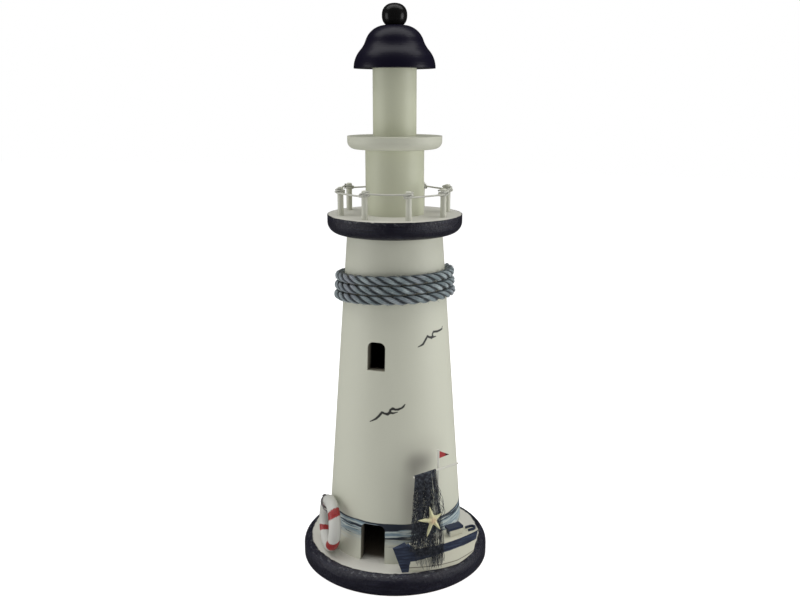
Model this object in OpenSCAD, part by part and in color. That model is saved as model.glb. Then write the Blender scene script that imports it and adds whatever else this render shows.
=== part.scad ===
// Painted wooden lighthouse ornament with a rope winding, a railed gallery and a small boat
// at its foot. Millimetres, +Z up. The origin is the centre of the underside of the base disc.
// Turns are counted from the doorway side (-Y), anticlockwise seen from above.

/* [Base disc] */
// Diameter of the base disc
base_d = 167; // [160:1:190]
// Thickness of the base disc
base_t = 17; // [14:0.5:24]
// Radius of the rounded upper edge
base_edge_r = 7.5; // [3:0.5:10]
// Chamfer of the lower edge
base_foot_chamfer = 1; // [0.5:0.25:2]

/* [Tower shell] */
// Outer diameter at the foot
tower_foot_d = 121.7; // [115:0.5:126]
// Outer diameter at the top
tower_top_d = 81.2; // [78:0.2:90]
// Height of the tower shell
tower_h = 278.3; // [260:0.5:320]
// Wall thickness, measured level
wall_t = 10.5; // [9:0.5:13]

/* [Doorway and window] */
// Width of the doorway
door_w = 22; // [16:0.5:26]
// Height of the doorway
door_h = 34; // [28:0.5:42]
// Corner radius of the doorway's head
door_corner_r = 5.5; // [3:0.5:7]
// Width of the window
window_w = 15.6; // [12:0.2:18]
// Height of the window
window_h = 24.2; // [20:0.2:30]
// Corner radius of the window's head
window_corner_r = 5.2; // [3:0.2:5.8]
// Height of the window sill above the base disc
window_sill_h = 168.5; // [120:0.5:185]

/* [Base screws] */
// Number of screws that hold the tower to the base
screw_count = 4; // [3:1:4]
// Shank diameter of a screw
screw_d = 4; // [3:0.25:5]
// Head diameter of a screw
screw_head_d = 8; // [7:0.25:9]
// Overall length of a screw
screw_l = 32; // [28:0.5:40]
// Depth of the head below the underside
screw_recess = 1; // [0.5:0.25:2]

/* [Gallery] */
// Diameter of the gallery disc
gallery_d = 114.3; // [110:0.5:120]
// Thickness of the gallery disc
gallery_t = 15.5; // [14:0.5:18]
// Radius of the rounded lower edge
gallery_edge_r = 9.5; // [6:0.5:11]
// Length of the spigot that locates the gallery disc in the tower
spigot_l = 12; // [8:0.5:16]

/* [Railing] */
// Number of railing posts
post_count = 8; // [6:1:10]
// Diameter of a post
post_d = 5; // [4:0.25:6]
// Height of a post above the gallery disc
post_h = 23.5; // [22:0.5:32]
// Bevel round the top of a post
post_bevel = 0.8; // [0.4:0.1:1.2]
// Length of the peg that is glued into the gallery disc
post_peg_l = 7; // [5:0.5:9]
// Diameter of the circle that the posts stand on
post_circle_d = 93; // [88:0.5:98]
// Turn of the first post from the doorway
post_first_turn = 33; // [30:1:36]
// Height of the rail cord above the gallery disc
rail_h = 19; // [16:0.5:21]
// Diameter of the rail cord
rail_cord_d = 1.5; // [1:0.1:1.6]
// Rise of the rail cord in its loop round a post
rail_loop_rise = 2.1; // [2:0.1:2.4]

/* [Lantern] */
// Diameter of the lower lantern drum
drum_lower_d = 49.2; // [44:0.2:54]
// Height of the lower lantern drum
drum_lower_h = 54.2; // [48:0.2:62]
// Diameter of the upper disc
upper_disc_d = 79; // [72:0.5:86]
// Thickness of the upper disc
upper_disc_t = 10.5; // [9:0.5:12]
// Radius of the upper disc's rounded lower edge
upper_disc_edge_r = 6.4; // [4:0.2:8.4]
// Diameter of the upper lantern drum
drum_upper_d = 36.1; // [32:0.1:40]
// Height of the upper lantern drum
drum_upper_h = 54.1; // [48:0.1:60]
// Diameter of the dowel through the lantern
spine_d = 10; // [8:0.5:12]
// Length of the dowel's end inside the cap
spine_in_cap = 17; // [12:0.5:18]

/* [Cap and finial] */
// Diameter of the cap's rim
cap_d = 67; // [64:0.5:72]
// Height of the cap
cap_h = 33.8; // [32:0.1:36]
// Radius of the arc from the flat on the crown down its side
cap_crown_r = 17.4; // [16.6:0.2:18.6]
// Radius of the arc that flares out to the rim
cap_flare_r = 21; // [19:0.5:22]
// Height of the cap's widest place above its underside
cap_flare_z = 0.2; // [0:0.1:0.4]
// Radius of the hollow between the crown and the flare
cap_hollow_r = 22; // [14:0.5:30]
// Diameter of the flat on the crown, where the ball sits
cap_flat_d = 14.2; // [14.2:0.2:16.4]
// Diameter of the finial ball
ball_d = 20.6; // [18:0.2:24]
// Height of the finial ball above the cap
ball_h = 17.1; // [14:0.1:18]
// Diameter of the foot of the ball
ball_foot_d = 14; // [12:0.2:14.2]
// Fullness of the ball's outline: 2 is an ellipse, more is squarer
ball_fullness = 2.3; // [2:0.1:3]
// Diameter of the peg that holds the ball
finial_peg_d = 5; // [4:0.25:6]
// Length of the peg inside the ball
peg_in_ball = 9; // [6:0.5:11]
// Length of the peg inside the cap
peg_in_cap = 10; // [6:0.5:11]

/* [Rope winding] */
// Diameter of the rope
rope_d = 8; // [7:0.1:8.2]
// Rise of the rope in one turn
rope_pitch = 8.05; // [8:0.05:9]
// Number of turns
rope_turns = 2.99; // [2:0.01:4]
// Height of the rope's lower end above the base disc
rope_start_h = 221.4; // [200:0.2:235]
// Turn of the rope's lower end from the doorway
rope_start_turn = 259; // [180:1:300]
// Drop of the winding's back below its front
rope_back_drop = 5.2; // [0:0.1:6]
// Turn of the side where the winding lies highest
rope_front_turn = 19; // [0:1:40]

/* [Life ring] */
// Overall diameter of the life ring
ring_d = 48.6; // [44:0.2:54]
// Diameter of the ring's section
ring_section_d = 10.6; // [8:0.2:12]
// Turn of the ring from the doorway
ring_turn = -41; // [-60:0.5:-36]
// Turn of the ring about its own upright axis
ring_yaw = 13; // [0:1:14]
// Diameter of the slack cord on the ring's outer face
ring_cord_d = 1; // [0.8:0.1:1.2]

/* [Boat hull] */
// Length of the boat on deck
boat_l = 79; // [70:0.5:82]
// Beam of the boat on deck
boat_beam = 19.6; // [17:0.2:22]
// Height of the deck at the bow end of the deck
boat_side_h = 21; // [18:0.2:24]
// Rise of the deck from bow to stern
boat_sheer = 5; // [1:0.1:5.4]
// Height of the raised bow above the deck line
bow_rise = 3.3; // [2:0.1:5]
// Length of the raised bow
bow_l = 12.5; // [7:0.5:14]
// Rake of the stem, from its top to its foot
stem_rake = 8.5; // [5:0.5:11]
// Rake of the transom, from its top to its foot
transom_rake = 3.7; // [2:0.1:6]
// Rise of the keel at the stern
keel_rise = 6; // [3:0.5:8]
// Width of the transom
transom_w = 9; // [6:0.2:11]
// Turn of the boat from the doorway
boat_turn = 44; // [40:1:48]
// Gap between the boat's gunwale and the tower
boat_gap = 0.6; // [0.4:0.1:3]
// Distance of the boat's middle from its nearest point to the tower, toward the stern
boat_shift = 5.2; // [0:0.1:8]

/* [Boat fittings] */
// Diameter of the mast
mast_d = 1.8; // [1.4:0.1:2.4]
// Height of the mast's top above the base disc
mast_top_h = 105; // [95:0.5:115]
// Distance of the mast from the bow
mast_from_bow = 41.8; // [38:0.2:46]
// Depth of the mast's foot in the hull
mast_step = 8; // [5:0.5:10]
// Diameter of the yard
yard_d = 1.8; // [1.4:0.1:2.2]
// Length of the yard
yard_l = 41.7; // [38:0.5:46]
// Length of the yard on the bow side of the mast
yard_fore_l = 23.9; // [22:0.5:26]
// Height of the yard above the base disc where it crosses the mast
yard_h = 88.1; // [84:0.1:92]
// Tilt of the yard, its bow end low
yard_tilt = 6.9; // [0:0.1:8]
// Length of the pennant
pennant_l = 9; // [6:0.5:12]
// Hoist of the pennant
pennant_hoist = 6.2; // [4:0.2:8]
// Thickness of the pennant
pennant_t = 0.6; // [0.4:0.1:1]
// Length of the cabin
cabin_l = 12.2; // [9:0.2:13]
// Width of the cabin
cabin_w = 6.4; // [5:0.2:8]
// Height of the cabin walls
cabin_h = 5.6; // [5:0.2:9]
// Distance of the cabin's middle from the bow
cabin_from_bow = 58.1; // [55:0.1:60]
// Thickness of the cabin roof
roof_t = 2.2; // [1.4:0.2:3]
// Overhang of the cabin roof
roof_overhang = 0.8; // [0.4:0.1:1.4]
// Height of the rail round the stern
stern_rail_h = 1.8; // [1:0.1:3]
// Wall of the rail round the stern
stern_rail_t = 1.3; // [1:0.1:1.6]
// Length of the stern rail's straight sides
stern_rail_l = 5; // [3:0.5:7]

/* [Fishing net and starfish] */
// Width of the net where it hangs from the yard
net_top_w = 19.4; // [14:0.2:20]
// Width of the net at the gunwale
net_foot_w = 28; // [24:0.5:30]
// Distance of the net's lower corner from the bow
net_from_bow = 13.8; // [12:0.2:16]
// Distance of the net's top from the outer end of the yard
net_from_yard_end = 0.6; // [0.4:0.2:4]
// Height of the net's lowest edge above the base disc
net_foot_h = 2.2; // [1:0.2:6]
// Height of the net's short edge above the base disc
net_short_h = 18.5; // [12:0.5:19]
// Thickness of the net
net_t = 0.6; // [0.5:0.1:0.8]
// Width of a strand of the net
net_strand_w = 0.7; // [0.5:0.05:0.9]
// Gaps across the net
net_across = 9; // [8:1:12]
// Gaps down the net, from the yard to the gunwale
net_down = 12; // [10:1:16]
// Gaps down the net, below the gunwale
net_below = 2; // [2:1:4]
// Folds across the net
net_folds = 3; // [2:1:4]
// Depth of a fold
net_fold_depth = 1.8; // [0.5:0.1:2.4]
// Lengths of the starfish's arms
star_arms = [12.7, 13.1, 15, 12.1, 9.4];
// Directions of the starfish's arms, anticlockwise from the stern
star_turns = [101, 173, 248, 305, 385];
// Radius of the starfish's waist between two arms
star_waist_r = 4.1; // [3:0.1:5]
// Thickness of the starfish's middle
star_t = 3; // [2:0.1:4]
// Thickness of the starfish's edge
star_edge_t = 0.8; // [0.5:0.1:1.2]
// Height of the starfish's middle above the base disc
star_h = 47.6; // [44:0.2:52]
// Distance of the starfish's middle from the bow
star_from_bow = 32; // [31:0.5:37]

/* [Fits] */
// Radial clearance of pegs, dowels and screws in their holes
peg_gap = 0.1; // [0.05:0.05:0.2]
// Radial clearance of the spigot in the tower
spigot_gap = 0.2; // [0.1:0.05:0.4]
// Clearance under a peg's or dowel's end
end_gap = 0.3; // [0.2:0.1:0.6]
// Clearance between a wound or leaning piece and its seat
seat_gap = 0.2; // [0.15:0.05:0.25]

/* [Hidden] */
$fn = 96;
eps = 0.01;
cut_over = 1;

// Heights of the stack
tower_top_z = base_t + tower_h;
gallery_top_z = tower_top_z + gallery_t;
upper_disc_z = gallery_top_z + drum_lower_h;
drum_upper_z = upper_disc_z + upper_disc_t;
cap_z = drum_upper_z + drum_upper_h;
ball_z = cap_z + cap_h;

// Tower wall
tower_slope = (tower_foot_d - tower_top_d) / 2 / tower_h;
bore_top_r = tower_top_d / 2 - wall_t;
wall_mid_r = tower_foot_d / 2 - wall_t / 2;
function tower_r(z) = tower_foot_d / 2 - tower_slope * (z - base_t);

// Railing
post_step = 360 / post_count;
rail_sides = 6;
rail_rings = 24;
rail_cord_r = rail_cord_d / 2;
rail_chord_gap = 0.1;
rail_loop_r = post_d / 2 + rail_cord_r + seat_gap / 2 + rail_chord_gap;

// Rope winding
rope_rings = 24;
rope_sides = 6;
rope_r = rope_d / 2;
rope_chord_gap = 0.45;

// Life ring
ring_section_r = ring_section_d / 2;
ring_mid_r = ring_d / 2 - ring_section_r;
ring_lean = atan(tower_slope);
ring_z = base_t + ring_mid_r * cos(ring_lean) + ring_section_r + seat_gap / 4;
ring_stand = (tower_r(ring_z) + (ring_section_r + seat_gap) / cos(ring_lean)) / cos(ring_yaw);
ring_cord_r = ring_cord_d / 2;
ring_cord_sides = 8;
ring_cord_out = ring_section_r + ring_cord_r + seat_gap;
// Route of the ring's cord: turn along the ring from its near side, roll round the ring's
// section from its outer edge, and slack away from the ring
ring_cord_route = [
    [126, 15, 0.1],
    [124, 45, 0.1],
    [121, 75, 0.1],
    [118, 103, 0.3],
    [110, 125, 1.4],
    [98, 131, 2.2],
    [82, 130, 2],
    [67, 112, 0.6],
    [56, 90, 0.1]
];

// Boat: x from the bow to the stern, y toward the tower, z up from the base disc
bow_x = boat_shift - boat_l / 2;
boat_stand = tower_r(base_t + boat_side_h) + boat_gap + boat_beam / 2;
deck_slope = atan(boat_sheer / boat_l);
hull_stations = 20;
hull_wide_at = 0.55;
bow_fullness = 1.15;
stern_fullness = 0.8;
keel_curve = 1.4;
stem_half_w = 0.5;
chine_h = 4.5;
chine_share = 0.95;
bottom_share = 0.85;
keel_from = 0.72;
bow_end = bow_l / boat_l;
bow_step = 0.02;
mast_x = bow_x + mast_from_bow;
cabin_x = bow_x + cabin_from_bow;
yard_y = -(mast_d + yard_d) / 2 - seat_gap / 2;
pennant_drop = 1.4;
pennant_below_top = 1.6;
stern_rail_side_gap = 1.2;
stern_rail_end_gap = 0.3;
stern_rail_r = transom_w / 2 - stern_rail_side_gap;

function mix(a, b, t) = a + (b - a) * t;
function smooth(t) = let (c = max(0, min(1, t))) c * c * (3 - 2 * c);
function unit(v) = v / norm(v);
function along(x) = (x - bow_x) / boat_l;
function deck_h(s) = boat_side_h + boat_sheer * s;
function half_beam(s) = s < hull_wide_at
    ? mix(stem_half_w, boat_beam / 2, pow(sin(90 * s / hull_wide_at), bow_fullness))
    : mix(transom_w / 2, boat_beam / 2,
        pow(max(0, cos(90 * (s - hull_wide_at) / (1 - hull_wide_at))), stern_fullness));
function keel_h(s) = keel_rise * pow(max(0, (s - keel_from) / (1 - keel_from)), keel_curve);
function bow_h(s) = bow_rise * (1 - smooth((s - bow_end) / bow_step));
function yard_z(x) = yard_h + (x - mast_x) * tan(yard_tilt);

// Net: u runs across it from its bow side, v down it, with the gunwale at v = 1
net_top_x = mast_x - yard_fore_l + net_from_yard_end;
net_foot_x = bow_x + net_from_bow;
net_side_gap = 0.3;
net_half_t = net_t / 2;
net_slack_from = 0.25;
net_gather_from = 0.82;
net_gather = 0.75;
net_short_share = 0.6;
function net_gunwale(u) = let (x = net_foot_x + net_foot_w * u)
    [x, -(half_beam(along(x)) + net_half_t + net_side_gap), deck_h(along(x)) + net_side_gap];
function net_head(u) = let (x = net_top_x + net_top_w * u)
    [x, yard_y, yard_z(x) - yard_d / 2 / cos(yard_tilt) - seat_gap];
function net_end_h(u) = mix(net_foot_h, net_short_h, 1 - smooth(u / net_short_share));
function net_fold(u, v) = net_fold_depth * (0.5 - 0.5 * cos(360 * net_folds * u))
    * smooth(v / net_slack_from) * (1 - net_gather * smooth((v - net_gather_from) / (1 - net_gather_from)));
function net_mid(u, v) = v <= 1
    ? mix(net_head(u), net_gunwale(u), v) - [0, net_fold(u, v), 0]
    : let (g = net_gunwale(u)) [g[0], g[1] - net_fold(u, 1), mix(g[2], net_end_h(u), v - 1)];

// Starfish
star_x = bow_x + star_from_bow;
star_v = (yard_h - star_h) / (yard_h - boat_side_h);
star_u = (star_x - mix(net_top_x, net_foot_x, star_v)) / mix(net_top_w, net_foot_w, star_v);
star_y = net_mid(star_u, star_v)[1] + net_fold(star_u, star_v)
    - net_fold_depth - net_half_t - seat_gap;
star_pitch = atan((net_head(star_u)[1] - net_gunwale(star_u)[1])
    / (net_head(star_u)[2] - net_gunwale(star_u)[2]));
star_yaw = 3;
star_taper = 2.6;
star_steps = [0, 0.03, 0.09, 0.18, 0.31, 0.5];
star_rings = [1, 0.7, 0.38];

function numbered(name, count) = [for (i = [1:count]) str(name, "_", i)];

// Sweeps a round tube along a path; ref is a direction that the path never follows
module tube(path, r, sides, ref) {
    last = len(path) - 1;
    rings = [for (i = [0:last])
        let (t = unit(path[min(i + 1, last)] - path[max(i - 1, 0)]),
            a = unit(cross(ref, t)),
            b = cross(t, a))
        [for (k = [0:sides - 1]) path[i] + r * (cos(360 * k / sides) * a + sin(360 * k / sides) * b)]];
    walls = [for (i = [0:last - 1], k = [0:sides - 1])
        let (p = i * sides + k, q = i * sides + (k + 1) % sides)
        each [[p, p + sides, q], [q, p + sides, q + sides]]];
    caps = [for (k = [1:sides - 2])
        each [[0, k, k + 1], [last * sides, last * sides + k + 1, last * sides + k]]];
    polyhedron([for (ring = rings) each ring], concat(walls, caps));
}

// Places a piece at a turn from the doorway and a distance from the axis
module at_turn(turn, r) {
    rotate([0, 0, turn])
        translate([0, -r, 0])
            children();
}

// Half outline of a disc with one rounded edge, for turning
module edge_round_outline(r, t, edge_r) {
    square([r - edge_r, t]);
    square([r, t - edge_r]);
    translate([r - edge_r, t - edge_r])
        circle(edge_r);
}

// Doorway or window outline with a round-cornered head
module opening_outline(w, h, corner_r) {
    translate([-w / 2, 0])
        square([w, h - corner_r]);
    translate([corner_r - w / 2, 0])
        square([w - 2 * corner_r, h]);
    for (side = [-1, 1])
        translate([side * (w / 2 - corner_r), h - corner_r])
            circle(corner_r);
}

// Cuts an opening through the wall on the doorway side
module wall_cut(w, h, corner_r, z) {
    translate([0, 0, z])
        rotate([90, 0, 0])
            linear_extrude(tower_foot_d)
                opening_outline(w, h, corner_r);
}

module base_screw_place(i) {
    at_turn(180 / screw_count + 360 * (i - 1) / screw_count, wall_mid_r)
        translate([0, 0, screw_recess])
            children();
}

// A countersunk screw, or with a gap the hole for it
module screw_shape(gap) {
    cone_h = (screw_head_d - screw_d) / 2;
    cylinder(d = screw_d + 2 * gap, h = screw_l + gap);
    cylinder(d1 = screw_head_d + 2 * gap, d2 = screw_d + 2 * gap, h = cone_h);
}

module base_disc() {
    color("midnightblue")
        difference() {
            rotate_extrude()
                difference() {
                    intersection() {
                        edge_round_outline(base_d / 2, base_t, base_edge_r);
                        square([base_d / 2, base_t]);
                    }
                    translate([base_d / 2, 0])
                        rotate(45)
                            square(base_foot_chamfer * sqrt(2), center = true);
                }
            for (i = [1:screw_count])
                base_screw_place(i) {
                    screw_shape(peg_gap);
                    translate([0, 0, -screw_recess - cut_over])
                        cylinder(d = screw_head_d + 2 * peg_gap, h = screw_recess + cut_over);
                }
        }
}

module base_screw(i) {
    color("goldenrod")
        base_screw_place(i)
            screw_shape(0);
}

module tower_shell() {
    color("ivory")
        difference() {
            translate([0, 0, base_t])
                rotate_extrude()
                    polygon([
                        [tower_foot_d / 2 - wall_t, 0],
                        [tower_foot_d / 2, 0],
                        [tower_top_d / 2, tower_h],
                        [bore_top_r, tower_h]
                    ]);
            wall_cut(door_w, door_h + cut_over, door_corner_r, base_t - cut_over);
            wall_cut(window_w, window_h, window_corner_r, base_t + window_sill_h);
            for (i = [1:screw_count])
                base_screw_place(i)
                    screw_shape(peg_gap);
        }
}

module gallery_disc() {
    post_hole_l = post_peg_l + end_gap;
    spigot_r = bore_top_r - spigot_gap;
    color("midnightblue")
        difference() {
            union() {
                translate([0, 0, gallery_top_z])
                    rotate_extrude()
                        mirror([0, 1])
                            intersection() {
                                edge_round_outline(gallery_d / 2, gallery_t, gallery_edge_r);
                                square([gallery_d / 2, gallery_t]);
                            }
                translate([0, 0, tower_top_z - spigot_l])
                    cylinder(r = spigot_r, h = spigot_l + eps);
            }
            for (i = [1:post_count])
                at_turn(post_first_turn + (i - 1) * post_step, post_circle_d / 2)
                    translate([0, 0, gallery_top_z - post_hole_l])
                        cylinder(d = post_d + 2 * peg_gap, h = post_hole_l + cut_over);
            translate([0, 0, tower_top_z - spigot_l - cut_over])
                cylinder(d = spine_d + 2 * peg_gap, h = spigot_l + gallery_t + 2 * cut_over);
        }
}

module gallery_post(i) {
    color("ivory")
        at_turn(post_first_turn + (i - 1) * post_step, post_circle_d / 2)
            translate([0, 0, gallery_top_z - post_peg_l]) {
                cylinder(d = post_d, h = post_peg_l + post_h - post_bevel);
                translate([0, 0, post_peg_l + post_h - post_bevel])
                    cylinder(d1 = post_d, d2 = post_d - 2 * post_bevel, h = post_bevel);
            }
}

// Route of the rail cord: a loop round each post, and a level run that leaves it and meets the
// next one along the tangent. The loops drop and climb by turns, and the last run ends under the first
function rail_level(i, angle) =
    let (arrive = 1 - i % 2, leave = i == post_count - 1 ? arrive - 1 : 1 - arrive)
    mix(arrive, leave, angle / 360);
function rail_point(turn, angle, level) = [
    post_circle_d / 2 * sin(turn) + rail_loop_r * sin(turn + angle),
    -post_circle_d / 2 * cos(turn) - rail_loop_r * cos(turn + angle),
    gallery_top_z + rail_h + rail_loop_rise * level];
rail_loop_rings = ceil(rail_rings * (1 + post_step / 360));
rail_first_turn = post_first_turn + post_step * floor(post_count / 2);
function rail_loop(i) = [for (k = [0:rail_loop_rings])
    let (angle = mix(-post_step / 2, 360 + post_step / 2, k / rail_loop_rings))
    rail_point(rail_first_turn + i * post_step, angle, rail_level(i, angle))];
rail_end = rail_point(rail_first_turn, -post_step / 2, -1 - post_step / 720);
rail_path = concat([for (i = [0:post_count - 1]) each rail_loop(i)], [rail_end]);

module rail_cord() {
    color("linen")
        tube(rail_path, rail_cord_r, rail_sides, [0, 0, 1]);
}

// A turned drum with a bore for the spine dowel
module drum(d, z, h) {
    color("ivory")
        translate([0, 0, z])
            difference() {
                cylinder(d = d, h = h);
                translate([0, 0, -cut_over])
                    cylinder(d = spine_d + 2 * peg_gap, h = h + 2 * cut_over);
            }
}

module drum_lower() {
    drum(drum_lower_d, gallery_top_z, drum_lower_h);
}

module drum_upper() {
    drum(drum_upper_d, drum_upper_z, drum_upper_h);
}

module upper_disc() {
    color("ivory")
        translate([0, 0, drum_upper_z])
            difference() {
                rotate_extrude()
                    mirror([0, 1])
                        intersection() {
                            edge_round_outline(upper_disc_d / 2, upper_disc_t, upper_disc_edge_r);
                            square([upper_disc_d / 2, upper_disc_t]);
                        }
                translate([0, 0, -upper_disc_t - cut_over])
                    cylinder(d = spine_d + 2 * peg_gap, h = upper_disc_t + 2 * cut_over);
            }
}

module spine_dowel() {
    color("burlywood")
        translate([0, 0, tower_top_z - spigot_l])
            cylinder(d = spine_d, h = cap_z - tower_top_z + spigot_l + spine_in_cap);
}

// Cap outline: crown arc, hollow arc and flare arc, each tangent to the next
cap_crown_c = [cap_flat_d / 2, cap_h - cap_crown_r];
cap_flare_c = [cap_d / 2 - cap_flare_r, cap_flare_z];
cap_gap_v = cap_flare_c - cap_crown_c;
cap_side_a = cap_crown_r + cap_hollow_r;
cap_side_b = cap_flare_r + cap_hollow_r;
cap_foot = (pow(cap_side_a, 2) - pow(cap_side_b, 2) + cap_gap_v * cap_gap_v) / 2 / norm(cap_gap_v);
cap_off = sqrt(max(0, pow(cap_side_a, 2) - pow(cap_foot, 2)));
cap_hollow_c = cap_crown_c + unit(cap_gap_v) * cap_foot
    + [-cap_gap_v[1], cap_gap_v[0]] / norm(cap_gap_v) * cap_off;
function heading(v) = atan2(v[1], v[0]);
function arc_on(c, r, from, to, steps) = [for (k = [1:steps])
    let (a = mix(from, to, k / steps)) c + r * [cos(a), sin(a)]];
cap_crown_end = heading(cap_hollow_c - cap_crown_c);
cap_flare_start = heading(cap_hollow_c - cap_flare_c);
cap_outline = concat(
    [[0, 0], [0, cap_h], [cap_flat_d / 2, cap_h]],
    arc_on(cap_crown_c, cap_crown_r, 90, cap_crown_end, 12),
    arc_on(cap_hollow_c, cap_hollow_r, cap_crown_end + 180, cap_flare_start + 180, 5),
    arc_on(cap_flare_c, cap_flare_r, cap_flare_start, -asin(cap_flare_z / cap_flare_r), 8)
);

module cap_dome() {
    color("midnightblue")
        translate([0, 0, cap_z])
            difference() {
                rotate_extrude()
                    polygon(cap_outline);
                translate([0, 0, -cut_over])
                    cylinder(d = spine_d + 2 * peg_gap, h = cut_over + spine_in_cap + end_gap);
                translate([0, 0, cap_h - peg_in_cap - end_gap])
                    cylinder(d = finial_peg_d + 2 * peg_gap, h = peg_in_cap + end_gap + cut_over);
            }
}

// Ball outline: a full ellipse whose foot is cut where it meets the cap
ball_foot_t = -pow(1 - pow(ball_foot_d / ball_d, ball_fullness), 1 / ball_fullness);
ball_half_h = ball_h / (1 - ball_foot_t);
function ball_r(t) = ball_d / 2 * pow(max(0, 1 - pow(abs(t), ball_fullness)), 1 / ball_fullness);
ball_steps = 22;
ball_outline = concat(
    [[0, 0]],
    [for (k = [0:ball_steps])
        let (a = mix(asin(ball_foot_t), 90, k / ball_steps), t = sin(a))
        [ball_r(t), ball_half_h * (t - ball_foot_t)]]
);

module finial_ball() {
    color("black")
        translate([0, 0, ball_z])
            difference() {
                rotate_extrude()
                    polygon(ball_outline);
                translate([0, 0, -cut_over])
                    cylinder(d = finial_peg_d + 2 * peg_gap, h = cut_over + peg_in_ball + end_gap);
            }
}

module finial_peg() {
    color("burlywood")
        translate([0, 0, ball_z - peg_in_cap])
            cylinder(d = finial_peg_d, h = peg_in_cap + peg_in_ball);
}

// Route of the rope: a rising turn round the tower, with the back hanging lower than the front
function rope_point(k) = let (
        turned = 360 * k / rope_rings,
        turn = rope_start_turn + turned,
        lift = rope_pitch * turned / 360,
        z = base_t + rope_start_h + lift + rope_back_drop * (1 + cos(turn - rope_front_turn)) / 2,
        r = tower_r(z) + rope_r + rope_chord_gap)
    [r * sin(turn), -r * cos(turn), z];
rope_path = [for (k = [0:round(rope_rings * rope_turns)]) rope_point(k)];

// Least gap between two stretches of a wound tube that are half a turn or more apart;
// the rope's turns face each other flat to flat
function self_gap(path, d, rings) = min([for (i = [0:len(path) - 1], j = [i + rings / 2:len(path) - 1])
    norm(path[i] - path[j])]) - d;
rope_flat_d = rope_d * cos(180 / rope_sides);
echo(str("rope: least gap to itself ", self_gap(rope_path, rope_flat_d, rope_rings), " mm"));
echo(str("rail cord: least gap to itself ", self_gap(rail_path, rail_cord_d, rail_rings), " mm"));

module rope_winding() {
    color("slategray")
        tube(rope_path, rope_r, rope_sides, [0, 0, 1]);
}

// Places a piece in the life ring's frame: x along the ring, y away from the tower, z up
module at_ring() {
    at_turn(ring_turn, ring_stand)
        translate([0, 0, ring_z])
            rotate([0, 0, 180 - ring_yaw])
                rotate([ring_lean, 0, 0])
                    mirror([1, 0, 0])
                        children();
}

module life_ring() {
    color("white")
        at_ring()
            rotate([90, 0, 0])
                rotate_extrude()
                    translate([ring_mid_r, 0])
                        circle(ring_section_r);
}

module ring_cord() {
    path = [for (p = ring_cord_route)
        let (out = ring_cord_out + p[2], r = ring_mid_r + out * cos(p[1]))
        [r * cos(p[0]), out * sin(p[1]), r * sin(p[0])]];
    color("dimgray")
        at_ring()
            tube(path, ring_cord_r, ring_cord_sides, [0, 1, 0.2]);
}

// Places a piece in the boat's frame, standing on the base disc
module at_boat() {
    at_turn(boat_turn, boat_stand)
        translate([0, 0, base_t])
            children();
}

// Places a piece square to the sloping deck, at a place along the boat
module on_deck(x) {
    translate([x, 0, deck_h(along(x))])
        rotate([0, -deck_slope, 0])
            children();
}

// One cross-section of the hull, raked at the stem and the transom
function hull_section(s) = let (
        top_x = bow_x + boat_l * s,
        foot_x = bow_x + stem_rake + (boat_l - stem_rake - transom_rake) * s,
        top = deck_h(s) + bow_h(s),
        foot = keel_h(s),
        b = half_beam(s),
        chine = [mix(foot_x, top_x, chine_h / top), b * chine_share, foot + chine_h],
        floor_edge = [foot_x, b * bottom_share, foot])
    [[top_x, b, top], chine, floor_edge,
        [foot_x, -floor_edge[1], foot], [chine[0], -chine[1], chine[2]], [top_x, -b, top]];
hull_s = concat(
    [0, bow_end * 0.4, bow_end * 0.75, bow_end, bow_end + bow_step / 2, bow_end + bow_step],
    [for (k = [1:hull_stations]) mix(bow_end + bow_step, 1, k / hull_stations)]
);

module hull_body() {
    n = 6;
    last = len(hull_s) - 1;
    walls = [for (i = [0:last - 1], k = [0:n - 1])
        let (p = i * n + k, q = i * n + (k + 1) % n)
        each [[p, q, p + n], [q, q + n, p + n]]];
    caps = [for (k = [1:n - 2]) each [[0, k + 1, k], [last * n, last * n + k, last * n + k + 1]]];
    polyhedron([for (s = hull_s) each hull_section(s)], concat(walls, caps));
}

module boat_hull() {
    color("cornsilk")
        at_boat()
            difference() {
                hull_body();
                translate([mast_x, 0, deck_h(along(mast_x)) - mast_step - end_gap])
                    cylinder(d = mast_d + 2 * peg_gap, h = mast_step + end_gap + cut_over);
            }
}

module boat_cabin() {
    color("cornsilk")
        at_boat()
            on_deck(cabin_x)
                translate([-cabin_l / 2, -cabin_w / 2, 0])
                    cube([cabin_l, cabin_w, cabin_h]);
}

module cabin_roof() {
    color("midnightblue")
        at_boat()
            on_deck(cabin_x)
                translate([-cabin_l / 2 - roof_overhang, -cabin_w / 2 - roof_overhang, cabin_h])
                    cube([cabin_l + 2 * roof_overhang, cabin_w + 2 * roof_overhang, roof_t]);
}

// Half-round end toward the stern, straight sides toward the bow
module stern_rail_outline(r, l) {
    circle(r);
    translate([-l, -r])
        square([l, 2 * r]);
}

module stern_rail() {
    color("midnightblue")
        at_boat()
            on_deck(bow_x + boat_l - stern_rail_r - stern_rail_end_gap)
                linear_extrude(stern_rail_h)
                    difference() {
                        stern_rail_outline(stern_rail_r, stern_rail_l);
                        stern_rail_outline(stern_rail_r - stern_rail_t, stern_rail_l + cut_over);
                    }
}

module boat_mast() {
    foot_z = deck_h(along(mast_x)) - mast_step;
    color("white")
        at_boat()
            translate([mast_x, 0, foot_z])
                cylinder(d = mast_d, h = mast_top_h - foot_z);
}

module boat_yard() {
    color("white")
        at_boat()
            translate([mast_x, yard_y, yard_h])
                rotate([0, 90 - yard_tilt, 0])
                    translate([0, 0, -yard_fore_l])
                        cylinder(d = yard_d, h = yard_l);
}

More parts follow.
